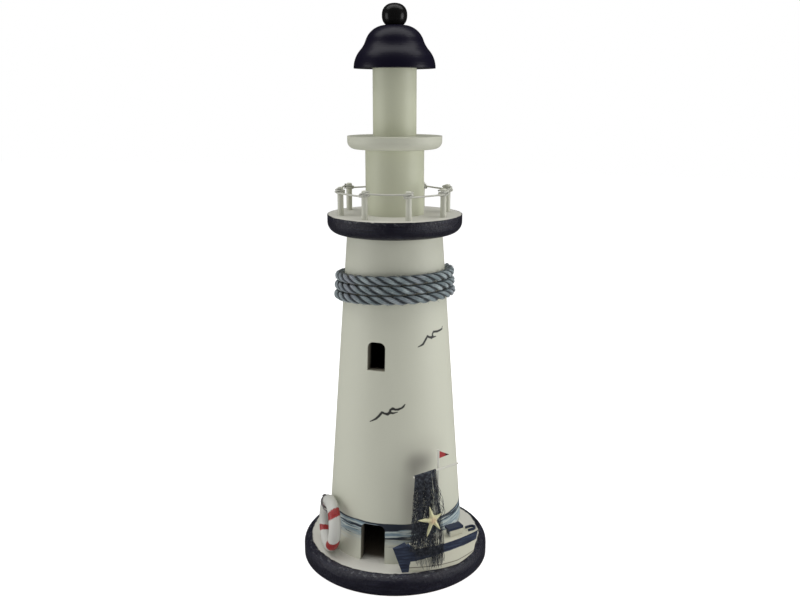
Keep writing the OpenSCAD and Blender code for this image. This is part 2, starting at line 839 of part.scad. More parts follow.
module boat_pennant() {
    hoist_x = mast_x + mast_d / 2 + seat_gap / 2;
    hoist_z = mast_top_h - pennant_below_top;
    color("crimson")
        at_boat()
            translate([hoist_x, pennant_t / 2, hoist_z])
                rotate([90, 0, 0])
                    linear_extrude(pennant_t)
                        polygon([
                            [0, 0],
                            [0, -pennant_hoist],
                            [pennant_l, -pennant_hoist / 2 - pennant_drop]
                        ]);
}

// The net is a lattice: the lines of a fine grid bound each strand and each gap
net_cells_down = net_down + net_below;
net_u_lines = [for (i = [0:net_across - 1], side = [0, 1])
    let (share = net_strand_w / (net_foot_w - net_strand_w))
    (i + side * share * net_across) / (net_across + share * net_across)];
function net_row_v(j) = j <= net_down ? j / net_down : 1 + (j - net_down) / net_below;
net_strand_v = net_strand_w / (yard_h - boat_side_h);
net_below_strand_v = net_strand_w / (boat_side_h - net_foot_h);
net_v_lines = [for (j = [0:net_cells_down - 1], side = [0, 1])
    net_row_v(j) + side * (j < net_down ? net_strand_v : net_below_strand_v)];

module fishing_net() {
    us = concat(net_u_lines, [1 - net_u_lines[1], 1]);
    vs = concat(net_v_lines, [2 - net_below_strand_v, 2]);
    cols = len(us);
    rows = len(vs);
    sheet = cols * rows;
    points = [for (face = [-1, 1], v = vs, u = us) net_mid(u, v) + [0, face * net_half_t, 0]];
    // A patch is a gap where both its column and its row lie between strands
    function solid(i, j) = i >= 0 && j >= 0 && i < cols - 1 && j < rows - 1
        && (i % 2 == 0 || j % 2 == 0);
    faces = [for (j = [0:rows - 2], i = [0:cols - 2]) if (solid(i, j))
        let (p = j * cols + i, a = p, b = p + 1, c = p + cols + 1, d = p + cols)
        each concat(
            [[a, b, c], [a, c, d], [a + sheet, c + sheet, b + sheet], [a + sheet, d + sheet, c + sheet]],
            solid(i, j - 1) ? [] : [[a, a + sheet, b], [b, a + sheet, b + sheet]],
            solid(i, j + 1) ? [] : [[c, c + sheet, d], [d, c + sheet, d + sheet]],
            solid(i - 1, j) ? [] : [[d, d + sheet, a], [a, d + sheet, a + sheet]],
            solid(i + 1, j) ? [] : [[b, b + sheet, c], [c, b + sheet, c + sheet]]
        )];
    color("darkslateblue")
        at_boat()
            polyhedron(points, faces);
}

// Outline of the starfish: each arm tapers to its tip from a waist midway to the next arm
function star_turn(i) = star_turns[(i + 5) % 5] + 360 * floor(i / 5);
star_outline = [for (i = [0:4], k = [-4:5])
    let (share = star_steps[abs(k)],
        turn = mix(star_turn(i), star_turn(i + sign(k)), share),
        r = star_waist_r + (star_arms[i] - star_waist_r) * pow(1 - 2 * share, star_taper))
    r * [cos(turn), sin(turn)]];

module starfish() {
    n = len(star_outline);
    front = n * (len(star_rings) + 1);
    points = concat(
        [for (p = star_outline) [p[0], 0, p[1]]],
        [for (f = star_rings, p = star_outline)
            [f * p[0], -mix(star_t, star_edge_t, f * f), f * p[1]]],
        [[0, -star_t, 0], [0, 0, 0]]
    );
    faces = concat(
        [for (r = [0:len(star_rings) - 1], k = [0:n - 1])
            let (a = r * n + k, b = r * n + (k + 1) % n)
            each [[a, a + n, b], [b, a + n, b + n]]],
        [for (k = [0:n - 1]) [front - n + k, front, front - n + (k + 1) % n]],
        [for (k = [0:n - 1]) [k, (k + 1) % n, front + 1]]
    );
    color("khaki")
        at_boat()
            translate([star_x, star_y, star_h])
                rotate([-star_pitch, 0, -star_yaw])
                    polyhedron(points, faces);
}

base_disc();
tower_shell();
gallery_disc();
drum_lower();
upper_disc();
drum_upper();
cap_dome();
finial_ball();
finial_peg();
spine_dowel();
for (i = [1:screw_count])
    base_screw(i);
for (i = [1:post_count])
    gallery_post(i);
rail_cord();
rope_winding();
life_ring();
ring_cord();
boat_hull();
boat_cabin();
cabin_roof();
stern_rail();
boat_mast();
boat_yard();
boat_pennant();
fishing_net();
starfish();
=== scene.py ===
import math
import random

import bmesh
import bpy
from mathutils import Matrix, Vector, noise


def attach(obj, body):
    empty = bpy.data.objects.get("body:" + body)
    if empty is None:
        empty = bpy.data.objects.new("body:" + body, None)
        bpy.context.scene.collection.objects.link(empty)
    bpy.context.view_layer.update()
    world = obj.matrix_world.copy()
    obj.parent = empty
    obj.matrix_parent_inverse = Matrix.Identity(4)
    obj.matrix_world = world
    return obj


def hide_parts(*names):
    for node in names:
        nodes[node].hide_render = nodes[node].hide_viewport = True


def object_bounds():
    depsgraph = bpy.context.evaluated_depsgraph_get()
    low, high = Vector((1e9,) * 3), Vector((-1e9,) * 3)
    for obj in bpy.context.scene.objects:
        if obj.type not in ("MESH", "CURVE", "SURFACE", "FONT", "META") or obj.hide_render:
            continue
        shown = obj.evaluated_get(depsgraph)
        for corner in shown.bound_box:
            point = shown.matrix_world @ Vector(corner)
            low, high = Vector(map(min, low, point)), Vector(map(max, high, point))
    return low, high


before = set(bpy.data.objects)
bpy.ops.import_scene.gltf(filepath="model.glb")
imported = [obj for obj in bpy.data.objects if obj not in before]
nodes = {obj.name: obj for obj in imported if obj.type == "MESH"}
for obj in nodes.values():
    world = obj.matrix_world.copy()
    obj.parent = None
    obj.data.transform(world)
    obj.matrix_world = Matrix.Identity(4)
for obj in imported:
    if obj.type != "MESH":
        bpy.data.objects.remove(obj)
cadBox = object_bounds()
collection = bpy.context.scene.collection
mm = 0.001
toDegrees = 180 / math.pi


# the photograph's view
camera = {
    "place": (0.24229, -0.69018, 0.40783),
    "look": (-0.31688, 0.92028, -0.22950),
    "lens": 38.97,
    "sensor": 36.0,
    "nearest": 0.01,
}

cameraData = bpy.data.cameras.new("photoCamera")
cameraData.lens = camera["lens"]
cameraData.sensor_width = camera["sensor"]
cameraData.clip_start = camera["nearest"]
cameraObject = bpy.data.objects.new("photoCamera", cameraData)
cameraObject.location = camera["place"]
cameraObject.rotation_euler = Vector(camera["look"]).to_track_quat("-Z", "Y").to_euler()
collection.objects.link(cameraObject)
bpy.context.scene.camera = cameraObject
print("camera placed")


# short names for shader nodes
def addNode(tree, kind, **settings):
    made = tree.nodes.new("ShaderNode" + kind)
    for name, value in settings.items():
        setattr(made, name, value)
    return made


def plug(tree, socket, value):
    if isinstance(value, bpy.types.NodeSocket):
        tree.links.new(value, socket)
    elif socket.type == "RGBA" and len(value) == 3:
        socket.default_value = (*value, 1.0)
    else:
        socket.default_value = value


def calc(tree, operation, *values, clamp=False):
    made = addNode(tree, "Math", operation=operation, use_clamp=clamp)
    for i, value in enumerate(values):
        plug(tree, made.inputs[i], value)
    return made.outputs[0]


def plus(tree, a, b):
    return calc(tree, "ADD", a, b)


def minus(tree, a, b):
    return calc(tree, "SUBTRACT", a, b)


def times(tree, a, b):
    return calc(tree, "MULTIPLY", a, b)


def timesPlus(tree, a, b, c):  # a times b, plus c
    return calc(tree, "MULTIPLY_ADD", a, b, c)


def inverse(tree, share):
    return calc(tree, "SUBTRACT", 1.0, share)


def aim(tree, operation, *values):  # vector maths
    made = addNode(tree, "VectorMath", operation=operation)
    for i, value in enumerate(values):
        plug(tree, made.inputs[3 if operation == "SCALE" and i == 1 else i], value)
    return made.outputs[1 if operation in ("DOT_PRODUCT", "LENGTH") else 0]


def fade(tree, value, low, high):  # 0 below low, 1 above high
    made = addNode(tree, "MapRange", interpolation_type="SMOOTHSTEP")
    plug(tree, made.inputs["Value"], value)
    plug(tree, made.inputs["From Min"], low)
    plug(tree, made.inputs["From Max"], high)
    return made.outputs["Result"]


def between(tree, value, low, high, soft):  # 1 from low to high
    rise = fade(tree, value, low - soft, low + soft)
    fall = fade(tree, value, high - soft, high + soft)
    return calc(tree, "SUBTRACT", rise, fall, clamp=True)


def blendColor(tree, share, first, second):
    made = addNode(tree, "Mix", data_type="RGBA")
    plug(tree, made.inputs[0], share)
    plug(tree, made.inputs[6], first)
    plug(tree, made.inputs[7], second)
    return made.outputs[2]


def blendValue(tree, share, first, second):
    made = addNode(tree, "Mix", data_type="FLOAT")
    plug(tree, made.inputs[0], share)
    plug(tree, made.inputs[2], first)
    plug(tree, made.inputs[3], second)
    return made.outputs[0]


def noiseOf(tree, vector, scale, detail=3.0, roughness=0.55):
    made = addNode(tree, "TexNoise")
    plug(tree, made.inputs["Vector"], vector)
    plug(tree, made.inputs["Scale"], scale)
    plug(tree, made.inputs["Detail"], detail)
    plug(tree, made.inputs["Roughness"], roughness)
    return made.outputs[0]


def stretched(tree, vector, across, up):  # a pattern whose marks run round the axis
    made = addNode(tree, "Mapping")
    plug(tree, made.inputs["Vector"], vector)
    made.inputs["Scale"].default_value = (1 / across, 1 / across, 1 / up)
    return made.outputs[0]


def parts(tree, vector):
    made = addNode(tree, "SeparateXYZ")
    plug(tree, made.inputs[0], vector)
    return made.outputs


def joined(tree, *values):
    made = addNode(tree, "CombineXYZ")
    for i, value in enumerate(values):
        plug(tree, made.inputs[i], value)
    return made.outputs[0]


def placeInMm(tree):
    return aim(tree, "SCALE", addNode(tree, "TexCoord").outputs["Object"], 1 / mm)


def inFrame(tree, place, matrix):  # a place in a piece's own directions
    gone = aim(tree, "SUBTRACT", place, tuple(matrix.translation))
    return [aim(tree, "DOT_PRODUCT", gone, tuple(matrix.col[i][:3])) for i in range(3)]


def bumped(tree, shader, height, distance, strength):
    made = addNode(tree, "Bump")
    made.inputs["Strength"].default_value = strength
    made.inputs["Distance"].default_value = distance * mm
    plug(tree, made.inputs["Height"], height)
    plug(tree, shader.inputs["Normal"], made.outputs[0])


def newMaterial(name, values=None):
    made = bpy.data.materials.new(name)
    made.use_nodes = True
    shader = made.node_tree.nodes["Principled BSDF"]
    for label, value in (values or {}).items():
        plug(made.node_tree, shader.inputs[label], value)
    return made, made.node_tree, shader


def newGroup(name, inputs, outputs):
    tree = bpy.data.node_groups.new(name, "ShaderNodeTree")
    for label, kind, value in inputs:
        made = tree.interface.new_socket(label, in_out="INPUT", socket_type="NodeSocket" + kind)
        if value is not None:
            made.default_value = value
    for label in outputs:
        tree.interface.new_socket(label, in_out="OUTPUT", socket_type="NodeSocketFloat")
    return tree, tree.nodes.new("NodeGroupInput").outputs, tree.nodes.new("NodeGroupOutput").inputs


def useGroup(tree, group, **values):
    made = addNode(tree, "Group", node_tree=group)
    for label, value in values.items():
        plug(tree, made.inputs[label], value)
    return made.outputs


# effects that several paints share
def makeRoundPlace():  # turn from the doorway in degrees, radius and height in mm
    tree, given, result = newGroup("roundPlace", [("Place", "Vector", None)], ("Turn", "Radius", "Height"))
    x, y, z = parts(tree, given["Place"])
    plug(tree, result["Turn"], times(tree, calc(tree, "ARCTAN2", x, times(tree, y, -1.0)), toDegrees))
    plug(tree, result["Radius"], aim(tree, "LENGTH", joined(tree, x, y, 0.0)))
    plug(tree, result["Height"], z)
    return tree


def makePaintGrain():  # mottling and the small relief of a hand-painted coat
    inputs = [("Place", "Vector", None), ("Size", "Float", 12.0)]
    tree, given, result = newGroup("paintGrain", inputs, ("Shade", "Relief"))
    wide = noiseOf(tree, given["Place"], calc(tree, "DIVIDE", 1.0, given["Size"]), 4.0)
    fine = noiseOf(tree, given["Place"], calc(tree, "DIVIDE", 9.0, given["Size"]), 4.0, 0.7)
    plug(tree, result["Shade"], timesPlus(tree, fine, 0.35, times(tree, wide, 0.65)))
    plug(tree, result["Relief"], fine)
    return tree


def makeBrushMarks():  # long marks round the axis, and chips where the coat has gone
    inputs = [("Place", "Vector", None), ("Size", "Float", 1.0), ("Wear", "Float", 0.5)]
    tree, given, result = newGroup("brushMarks", inputs, ("Marks", "Chips"))
    sized = aim(tree, "SCALE", given["Place"], calc(tree, "DIVIDE", 1.0, given["Size"]))
    marks = noiseOf(tree, stretched(tree, sized, 16.0, 1.1), 1.0, 5.0, 0.65)
    spots = noiseOf(tree, sized, 0.55, 6.0, 0.75)
    patches = noiseOf(tree, sized, 0.05, 2.0)
    limit = timesPlus(tree, given["Wear"], -0.3, 0.86)
    total = timesPlus(tree, patches, 0.35, timesPlus(tree, marks, 0.3, times(tree, spots, 0.5)))
    plug(tree, result["Marks"], marks)
    plug(tree, result["Chips"], fade(tree, total, limit, plus(tree, limit, 0.06)))
    return tree


def makePaintStroke():  # a tapered dab from one point to another
    inputs = [(label, "Vector", None) for label in ("Spot", "Start", "End")]
    inputs += [(label, "Float", 0.5) for label in ("Start Width", "End Width")]
    tree, given, result = newGroup("paintStroke", inputs, ("Mask",))
    run = aim(tree, "SUBTRACT", given["End"], given["Start"])
    gone = aim(tree, "SUBTRACT", given["Spot"], given["Start"])
    lengths = [aim(tree, "DOT_PRODUCT", vector, run) for vector in (gone, run)]
    share = calc(tree, "DIVIDE", *lengths, clamp=True)
    away = aim(tree, "LENGTH", aim(tree, "SUBTRACT", gone, aim(tree, "SCALE", run, share)))
    width = blendValue(tree, share, given["Start Width"], given["End Width"])
    edge = fade(tree, away, times(tree, width, 0.55), times(tree, width, 1.15))
    plug(tree, result["Mask"], inverse(tree, edge))
    return tree


def makeYarns():  # yarns that run along a cord, on its own UV map
    tree, given, result = newGroup("cordYarns", [("Yarns", "Float", 2.0)], ("Ridge", "Fibre"))
    around = parts(tree, addNode(tree, "UVMap").outputs[0])[1]
    wave = times(tree, around, given["Yarns"])
    ridge = calc(tree, "ABSOLUTE", calc(tree, "SINE", times(tree, wave, math.pi)))
    plug(tree, result["Ridge"], ridge)
    plug(tree, result["Fibre"], noiseOf(tree, joined(tree, times(tree, wave, 3.0)), 4.0, 4.0, 0.7))
    return tree


roundPlace = makeRoundPlace()
paintGrain = makePaintGrain()
brushMarks = makeBrushMarks()
paintStroke = makePaintStroke()
cordYarns = makeYarns()
print("shared effects made")


def setMaterial(obj, material):
    obj.data.materials.clear()
    obj.data.materials.append(material)


# the tower's paint: off-white, a brushed sea band, two gulls, a soft grey darkening by the yard and a painted shadow
# beside the net
tower = {
    "footZ": 17.0,
    "footRadius": 60.85,
    "slope": 0.072763,
    "white": (0.600, 0.608, 0.508),
    "dirt": (0.42, 0.42, 0.33),
    "dirtShare": 0.16,
    "bandTop": 53.0,
    "bandFoot": 33.0,
    "lineWidth": 2.3,
    "widerLine": 3.4,
    "widerTurns": (8.0, 40.0, 5.0),  # first and last turn, softness
    "strokeTurns": (4.0, 46.0, 8.0),
    "strokes": 0.05,
    "moreStrokes": 0.09,
    "navy": (0.022, 0.030, 0.048),
    "midBlue": (0.180, 0.265, 0.325),
    "paleBlue": (0.560, 0.620, 0.590),
    "revealShade": (0.260, 0.240, 0.190),
    "inside": (0.012, 0.009, 0.008),
    "gullColor": (0.008, 0.008, 0.010),
    "gullWidth": 1.08,
    "arcPerDegree": 0.87,
    "darkPatchColor": (0.165, 0.142, 0.132),
    "darkPatches": (  # turn, height, half width, half height, strength
        # a soft grey darkening above the yard
        (42.5, 105.5, 18.0, 15.0, 0.50),
        (45.0, 113.0, 32.0, 24.0, 0.12),
        # a painted shadow of the net on the tower beside it
        (34.5, 74.0, 13.0, 46.0, 0.40),
    ),
    "gulls": (  # turn from the doorway in degrees, height in mm, share of the full width
        (
            (43.1, 205.5, 0.35), (47.2, 206.6, 0.9), (49.2, 207.4, 1.1), (51.5, 209.9, 1.0), (54.8, 213.3, 1.1),
            (57.4, 212.1, 1.0), (60.4, 211.5, 1.4), (61.9, 212.1, 1.2), (61.4, 214.1, 0.8), (63.3, 215.9, 1.0),
            (69.6, 215.3, 1.0), (75.2, 215.6, 0.9), (78.4, 215.9, 0.8), (79.3, 218.1, 0.4),
        ),
        ((60.4, 211.5, 1.0), (66.8, 211.5, 0.4)),
        (
            (-4.7, 141.8, 0.35), (-1.2, 143.5, 0.7), (1.5, 145.1, 1.0), (4.4, 147.8, 1.1), (7.0, 150.8, 1.1),
            (9.4, 150.0, 1.0), (12.2, 149.5, 1.3), (14.6, 151.1, 1.4), (14.8, 153.3, 0.9), (17.2, 154.4, 1.3),
            (19.7, 153.6, 1.0), (22.1, 153.7, 1.1), (25.4, 154.7, 0.9), (27.3, 156.1, 0.9), (28.7, 157.8, 0.5),
        ),
        ((14.6, 150.9, 1.1), (17.4, 150.5, 0.9), (21.6, 151.4, 0.35)),
    ),
}


def towerRadius(z):
    return tower["footRadius"] - tower["slope"] * (z - tower["footZ"])


def addSeaBand(tree, color, place, turn, height, streak):  # a dark line over blue strokes
    wave = noiseOf(tree, stretched(tree, place, 34.0, 60.0), 1.0, 2.0)
    wavy = timesPlus(tree, wave, 5.0, plus(tree, height, -2.5))
    uneven = minus(tree, streak, 0.5)
    moved = aim(tree, "ADD", place, (71.0, 13.0, 9.0))
    second = noiseOf(tree, stretched(tree, moved, 34.0, 2.6), 1.0, 4.0, 0.6)
    heavy = timesPlus(tree, between(tree, turn, *tower["strokeTurns"]), tower["moreStrokes"], tower["strokes"])
    sea = blendColor(tree, fade(tree, streak, 0.40, 0.62), tower["midBlue"], tower["paleBlue"])
    sea = blendColor(tree, fade(tree, plus(tree, second, heavy), 0.57, 0.66), sea, tower["navy"])
    wider = times(tree, between(tree, turn, *tower["widerTurns"]), tower["widerLine"])
    bottom = minus(tree, tower["bandTop"] - tower["lineWidth"], wider)
    line = fade(tree, timesPlus(tree, uneven, 5.5, wavy), bottom, plus(tree, bottom, 1.2))
    sea = blendColor(tree, line, sea, tower["navy"])
    top = fade(tree, timesPlus(tree, uneven, 2.4, wavy), tower["bandTop"] - 0.4, tower["bandTop"] + 0.4)
    low = fade(tree, timesPlus(tree, uneven, 24.0, wavy), tower["bandFoot"] - 1.0, tower["bandFoot"] + 8.0)
    return blendColor(tree, times(tree, inverse(tree, top), low), color, sea)


def addGulls(tree, color, place, flat):
    rough = addNode(tree, "TexNoise")
    plug(tree, rough.inputs["Vector"], place)
    rough.inputs["Scale"].default_value = 1.4
    shake = aim(tree, "SUBTRACT", rough.outputs["Color"], (0.5, 0.5, 0.5))
    shaky = aim(tree, "ADD", flat, aim(tree, "SCALE", shake, 0.5))
    arc, full = tower["arcPerDegree"], tower["gullWidth"]
    drawn = None
    for line in tower["gulls"]:
        for (a, za, wa), (b, zb, wb) in zip(line, line[1:]):
            ends = {"Start": (a * arc, za, 0.0), "End": (b * arc, zb, 0.0)}
            widths = {"Start Width": wa * full, "End Width": wb * full}
            mask = useGroup(tree, paintStroke, Spot=shaky, **ends, **widths)["Mask"]
            drawn = mask if drawn is None else calc(tree, "MAXIMUM", drawn, mask)
    return blendColor(tree, times(tree, drawn, 0.95), color, tower["gullColor"])


def addDarkPatchesAndShadow(tree, color, flat):  # a soft grey darkening above the yard, and a painted shadow of the net beside it
    for turn, z, width, tall, strength in tower["darkPatches"]:
        off = aim(tree, "SUBTRACT", flat, (turn * tower["arcPerDegree"], z, 0.0))
        off = aim(tree, "LENGTH", aim(tree, "MULTIPLY", off, (1 / width, 1 / tall, 1.0)))
        darkening = inverse(tree, fade(tree, off, 0.0, 1.0))
        color = blendColor(tree, times(tree, darkening, strength), color, tower["darkPatchColor"])
    return color


def makeTowerPaint():
    made, tree, shader = newMaterial("towerPaint", {"Roughness": 0.55, "Specular IOR Level": 0.4})
    place = placeInMm(tree)
    turn, radius, height = useGroup(tree, roundPlace, Place=place)
    grain = useGroup(tree, paintGrain, Place=place, Size=30.0)
    streak = noiseOf(tree, stretched(tree, place, 24.0, 1.6), 1.0, 5.0, 0.62)
    flat = joined(tree, times(tree, turn, tower["arcPerDegree"]), height, 0.0)
    color = blendColor(tree, times(tree, grain["Shade"], tower["dirtShare"]), tower["white"], tower["dirt"])
    color = addSeaBand(tree, color, place, turn, height, streak)
    color = addGulls(tree, color, place, flat)
    color = addDarkPatchesAndShadow(tree, color, flat)
    # painted shade in the openings: the reveals darken inward, and the bare wood inside is painted near black
    depth = minus(tree, timesPlus(tree, height, -tower["slope"], towerRadius(0)), radius)
    color = blendColor(tree, fade(tree, depth, 0.2, 3.0), color, tower["revealShade"])
    color = blendColor(tree, fade(tree, depth, 4.0, 9.5), color, tower["inside"])
    plug(tree, shader.inputs["Base Color"], color)
    bumped(tree, shader, timesPlus(tree, grain["Relief"], 0.6, times(tree, streak, 0.25)), 0.16, 0.5)
    return made


setMaterial(nodes["tower_shell"], makeTowerPaint())


# base and gallery: white tops, near-black worn edges
discs = {
    "white": (0.660, 0.650, 0.590),
    "dirt": (0.42, 0.41, 0.34),
    "navy": (0.0060, 0.0052, 0.0150),
    "streak": (0.020, 0.022, 0.042),
    "paleFleck": (0.16, 0.17, 0.18),
    "inside": (0.200, 0.165, 0.125),
    "insideRadius": (47.0, 55.0),
    "wood": (0.38, 0.27, 0.17),
    "chipShare": 0.75,
    "rimHighlightShare": 0.5,
    "raggedEdge": 4.2,
    "relief": 0.70,
}
discPaints = {  # covered is 1 where the tower stands over the disc's middle
    "base_disc": {"name": "basePaint", "whiteRadius": 76.2, "topZ": 17.0, "soft": 0.5, "wear": 0.60, "covered": 1.0},
    "gallery_disc": {
        "name": "galleryPaint", "whiteRadius": 56.6, "topZ": 310.8, "soft": 0.35, "wear": 0.42, "covered": 0.0,
    },
}


def makeDiscPaint(name, whiteRadius, topZ, soft, wear, covered):
    made, tree, shader = newMaterial(name)
    place = placeInMm(tree)
    _, radius, height = useGroup(tree, roundPlace, Place=place)
    grain = useGroup(tree, paintGrain, Place=place, Size=16.0)
    marks = useGroup(tree, brushMarks, Place=place, Size=1.0, Wear=wear)
    white = blendColor(tree, times(tree, grain["Shade"], 0.22), discs["white"], discs["dirt"])
    dark = blendColor(tree, fade(tree, marks["Marks"], 0.45, 0.75), discs["navy"], discs["streak"])
    dark = blendColor(tree, times(tree, marks["Chips"], discs["chipShare"]), dark, discs["paleFleck"])
    # pale dashes along the sharp upper rim are painted highlights, in the colour of the chips
    rim = times(
        tree, fade(tree, radius, whiteRadius - 1.0, whiteRadius), fade(tree, height, topZ - 3.2, topZ - 1.6),
    )
    rimHighlights = fade(tree, noiseOf(tree, stretched(tree, place, 3.4, 1.6), 1.0, 5.0, 0.7), 0.55, 0.62)
    dark = blendColor(tree, times(tree, times(tree, rim, rimHighlights), discs["rimHighlightShare"]), dark, discs["paleFleck"])
    wander = minus(tree, noiseOf(tree, place, 0.10, 5.0, 0.62), 0.5)
    edge = timesPlus(tree, wander, discs["raggedEdge"], radius)
    within = inverse(tree, fade(tree, edge, whiteRadius - soft, whiteRadius + soft))
    flatTop = times(tree, fade(tree, height, topZ - 0.9, topZ - 0.15), within)
    middle = inverse(tree, fade(tree, radius, *discs["insideRadius"]))
    under = inverse(tree, fade(tree, height, 0.3, 0.9))
    color = blendColor(tree, flatTop, dark, white)
    # painted shade: the disc top inside the hollow tower is painted darker
    color = blendColor(tree, times(tree, middle, covered), color, discs["inside"])
    color = blendColor(tree, under, color, discs["wood"])
    plug(tree, shader.inputs["Base Color"], color)
    gloss = timesPlus(tree, marks["Marks"], 0.35, 0.16)
    plug(tree, shader.inputs["Roughness"], blendValue(tree, flatTop, gloss, 0.5))
    relief = plus(tree, times(tree, marks["Marks"], 0.8), times(tree, grain["Relief"], 0.5))
    lumps = noiseOf(tree, place, 0.42, 4.0, 0.65)
    relief = timesPlus(tree, lumps, minus(tree, 1.6, times(tree, flatTop, 1.4)), relief)
    bumped(tree, shader, relief, discs["relief"], 0.8)
    return made


for name, values in discPaints.items():
    setMaterial(nodes[name], makeDiscPaint(**values))


# cap and ball: near-black lacquer
lacquers = {
    "cap_dome": {"name": "capLacquer", "color": (0.0042, 0.0034, 0.0110), "roughness": 0.38, "wave": 0.12},
    "finial_ball": {"name": "ballLacquer", "color": (0.0052, 0.0050, 0.0050), "roughness": 0.24, "wave": 0.08},
}
lacquerGloss = {"Specular IOR Level": 0.15, "Coat Weight": 0.05, "Coat Roughness": 0.16}


def makeLacquer(name, color, roughness, wave):
    made, tree, shader = newMaterial(name, {"Roughness": roughness, **lacquerGloss})
    place = placeInMm(tree)
    grain = useGroup(tree, paintGrain, Place=place, Size=18.0)
    marks = useGroup(tree, brushMarks, Place=place, Size=1.6, Wear=0.1)
    paler = tuple(2.2 * c for c in color)
    plug(tree, shader.inputs["Base Color"], blendColor(tree, times(tree, marks["Marks"], 0.4), color, paler))
    bumped(tree, shader, plus(tree, grain["Shade"], times(tree, marks["Marks"], 0.5)), wave, 0.4)
    return made


for name, values in lacquers.items():
    setMaterial(nodes[name], makeLacquer(**values))


# plain paints and bare wood: color, the dirt that mottles it, roughness and the size of the mottling
def makePaint(name, color, dirt, roughness=0.5, size=14.0):
    made, tree, shader = newMaterial(name, {"Specular IOR Level": 0.4})
    grain = useGroup(tree, paintGrain, Place=placeInMm(tree), Size=size)
    plug(tree, shader.inputs["Base Color"], blendColor(tree, times(tree, grain["Shade"], 0.3), color, dirt))
    plug(tree, shader.inputs["Roughness"], timesPlus(tree, grain["Shade"], 0.25, roughness - 0.12))
    bumped(tree, shader, grain["Relief"], 0.12, 0.5)
    return made


def paintNodes(names, material):
    for name in names:
        setMaterial(nodes[name], material)


paintNodes(["drum_lower", "drum_upper"], makePaint("drumPaint", (0.585, 0.602, 0.462), (0.45, 0.46, 0.31)))
paintNodes(["upper_disc"], makePaint("upperDiscPaint", (0.570, 0.575, 0.480), (0.43, 0.44, 0.33)))
paintNodes(
    [f"gallery_post_{i}" for i in range(1, 9)],
    makePaint("railingPaint", (0.610, 0.612, 0.530), (0.45, 0.46, 0.36)),
)
paintNodes(
    ["spine_dowel", "finial_peg"],
    makePaint("bareWood", (0.50, 0.36, 0.22), (0.30, 0.20, 0.11), roughness=0.7, size=5.0),
)


def makeScrewBrass():
    made, tree, shader = newMaterial("screwBrass", {"Metallic": 1.0, "Roughness": 0.35})
    tarnish = noiseOf(tree, placeInMm(tree), 0.8, 4.0)
    plug(tree, shader.inputs["Base Color"], blendColor(tree, tarnish, (0.62, 0.46, 0.20), (0.40, 0.29, 0.14)))
    return made


paintNodes([f"base_screw_{i}" for i in range(1, 5)], makeScrewBrass())
print("turned wood painted")


# threads, strings and rope are tubes along their routes
def makeCords(name, routes, radius, sides=8):
    curve = bpy.data.curves.new(name, "CURVE")
    curve.dimensions = "3D"
    curve.bevel_depth = radius * mm
    curve.bevel_resolution = (sides - 4) // 2
    curve.use_fill_caps = True
    for points, widths in routes:
        spline = curve.splines.new("POLY")
        spline.points.add(len(points) - 1)
        for target, point, width in zip(spline.points, points, widths):
            target.co = (*(point * mm), 1.0)
            target.radius = width
    source = bpy.data.objects.new(name, curve)
    collection.objects.link(source)
    mesh = bpy.data.meshes.new_from_object(source.evaluated_get(bpy.context.evaluated_depsgraph_get()))
    bpy.data.objects.remove(source)
    bpy.data.curves.remove(curve)
    mesh.name = name
    return addPiece(name, mesh)


def addPiece(name, mesh):
    piece = bpy.data.objects.new(name, mesh)
    collection.objects.link(piece)
    for face in mesh.polygons:
        face.use_smooth = True
    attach(piece, "root")
    return piece


def even(points):
    return points, [1.0] * len(points)


def tapered(points, tip=0.3):
    last = len(points) - 1
    return points, [1.0 - (1.0 - tip) * i / last for i in range(last + 1)]


def turned(turn, radius, height):  # a place by its turn from the doorway
    angle = math.radians(turn)
    return Vector((radius * math.sin(angle), -radius * math.cos(angle), height))


def mixed(a, b, share):
    return a + (b - a) * share


def smooth(share):
    held = max(0.0, min(1.0, share))
    return held * held * (3 - 2 * held)


# rope: three laid strands wound three times round the tower, with fine fibres and frayed ends
rope = {
    "startTurn": 259.0,
    "startHeight": 238.4,
    "pitch": 8.05,
    "turns": 2.99,
    "backDrop": 5.2,
    "frontTurn": 19.0,
    "radius": 4.0,
    "offWall": 0.1,
    "strands": 3,
    "strandRadius": 1.92,
    "strandOut": 2.08,
    "lay": 30.0,
    "layRadius": 48.0,
    "stepsPerTurn": 150,
    "fibres": 620,
    "fibreSeed": 4,
    "fibreRadius": 0.11,
    "endFibres": 70,
    "endReach": (7.0, 3.5),
    "color": (0.175, 0.225, 0.240),
    "pale": (0.380, 0.445, 0.455),
    "lavender": (0.215, 0.215, 0.270),
    "gap": (0.012, 0.016, 0.022),
}
ropeLength = 360 * rope["turns"]  # in degrees


def ropePlace(gone):  # centre of the rope after so many degrees, with its outward and upward directions
    turn = rope["startTurn"] + gone
    lift = rope["backDrop"] * (1 + math.cos(math.radians(turn - rope["frontTurn"]))) / 2
    z = rope["startHeight"] + rope["pitch"] * gone / 360 + lift
    out = turned(turn, 1.0, 0.0)
    return turned(turn, towerRadius(z) + rope["radius"] + rope["offWall"], z), out, Vector((0, 0, 1))


def ropeSpot(gone, phase, away):
    center, out, up = ropePlace(gone)
    angle = phase - 2 * math.pi * gone / 360 * 2 * math.pi * rope["layRadius"] / rope["lay"]
    return center + (out * math.cos(angle) + up * math.sin(angle)) * away


def makeRope():
    count = int(rope["stepsPerTurn"] * rope["turns"])
    strands = []
    for k in range(rope["strands"]):
        phase = 2 * math.pi * k / rope["strands"]
        strands.append(even([ropeSpot(ropeLength * i / count, phase, rope["strandOut"]) for i in range(count + 1)]))
    return makeCords("ropeStrands", strands, rope["strandRadius"], 14)


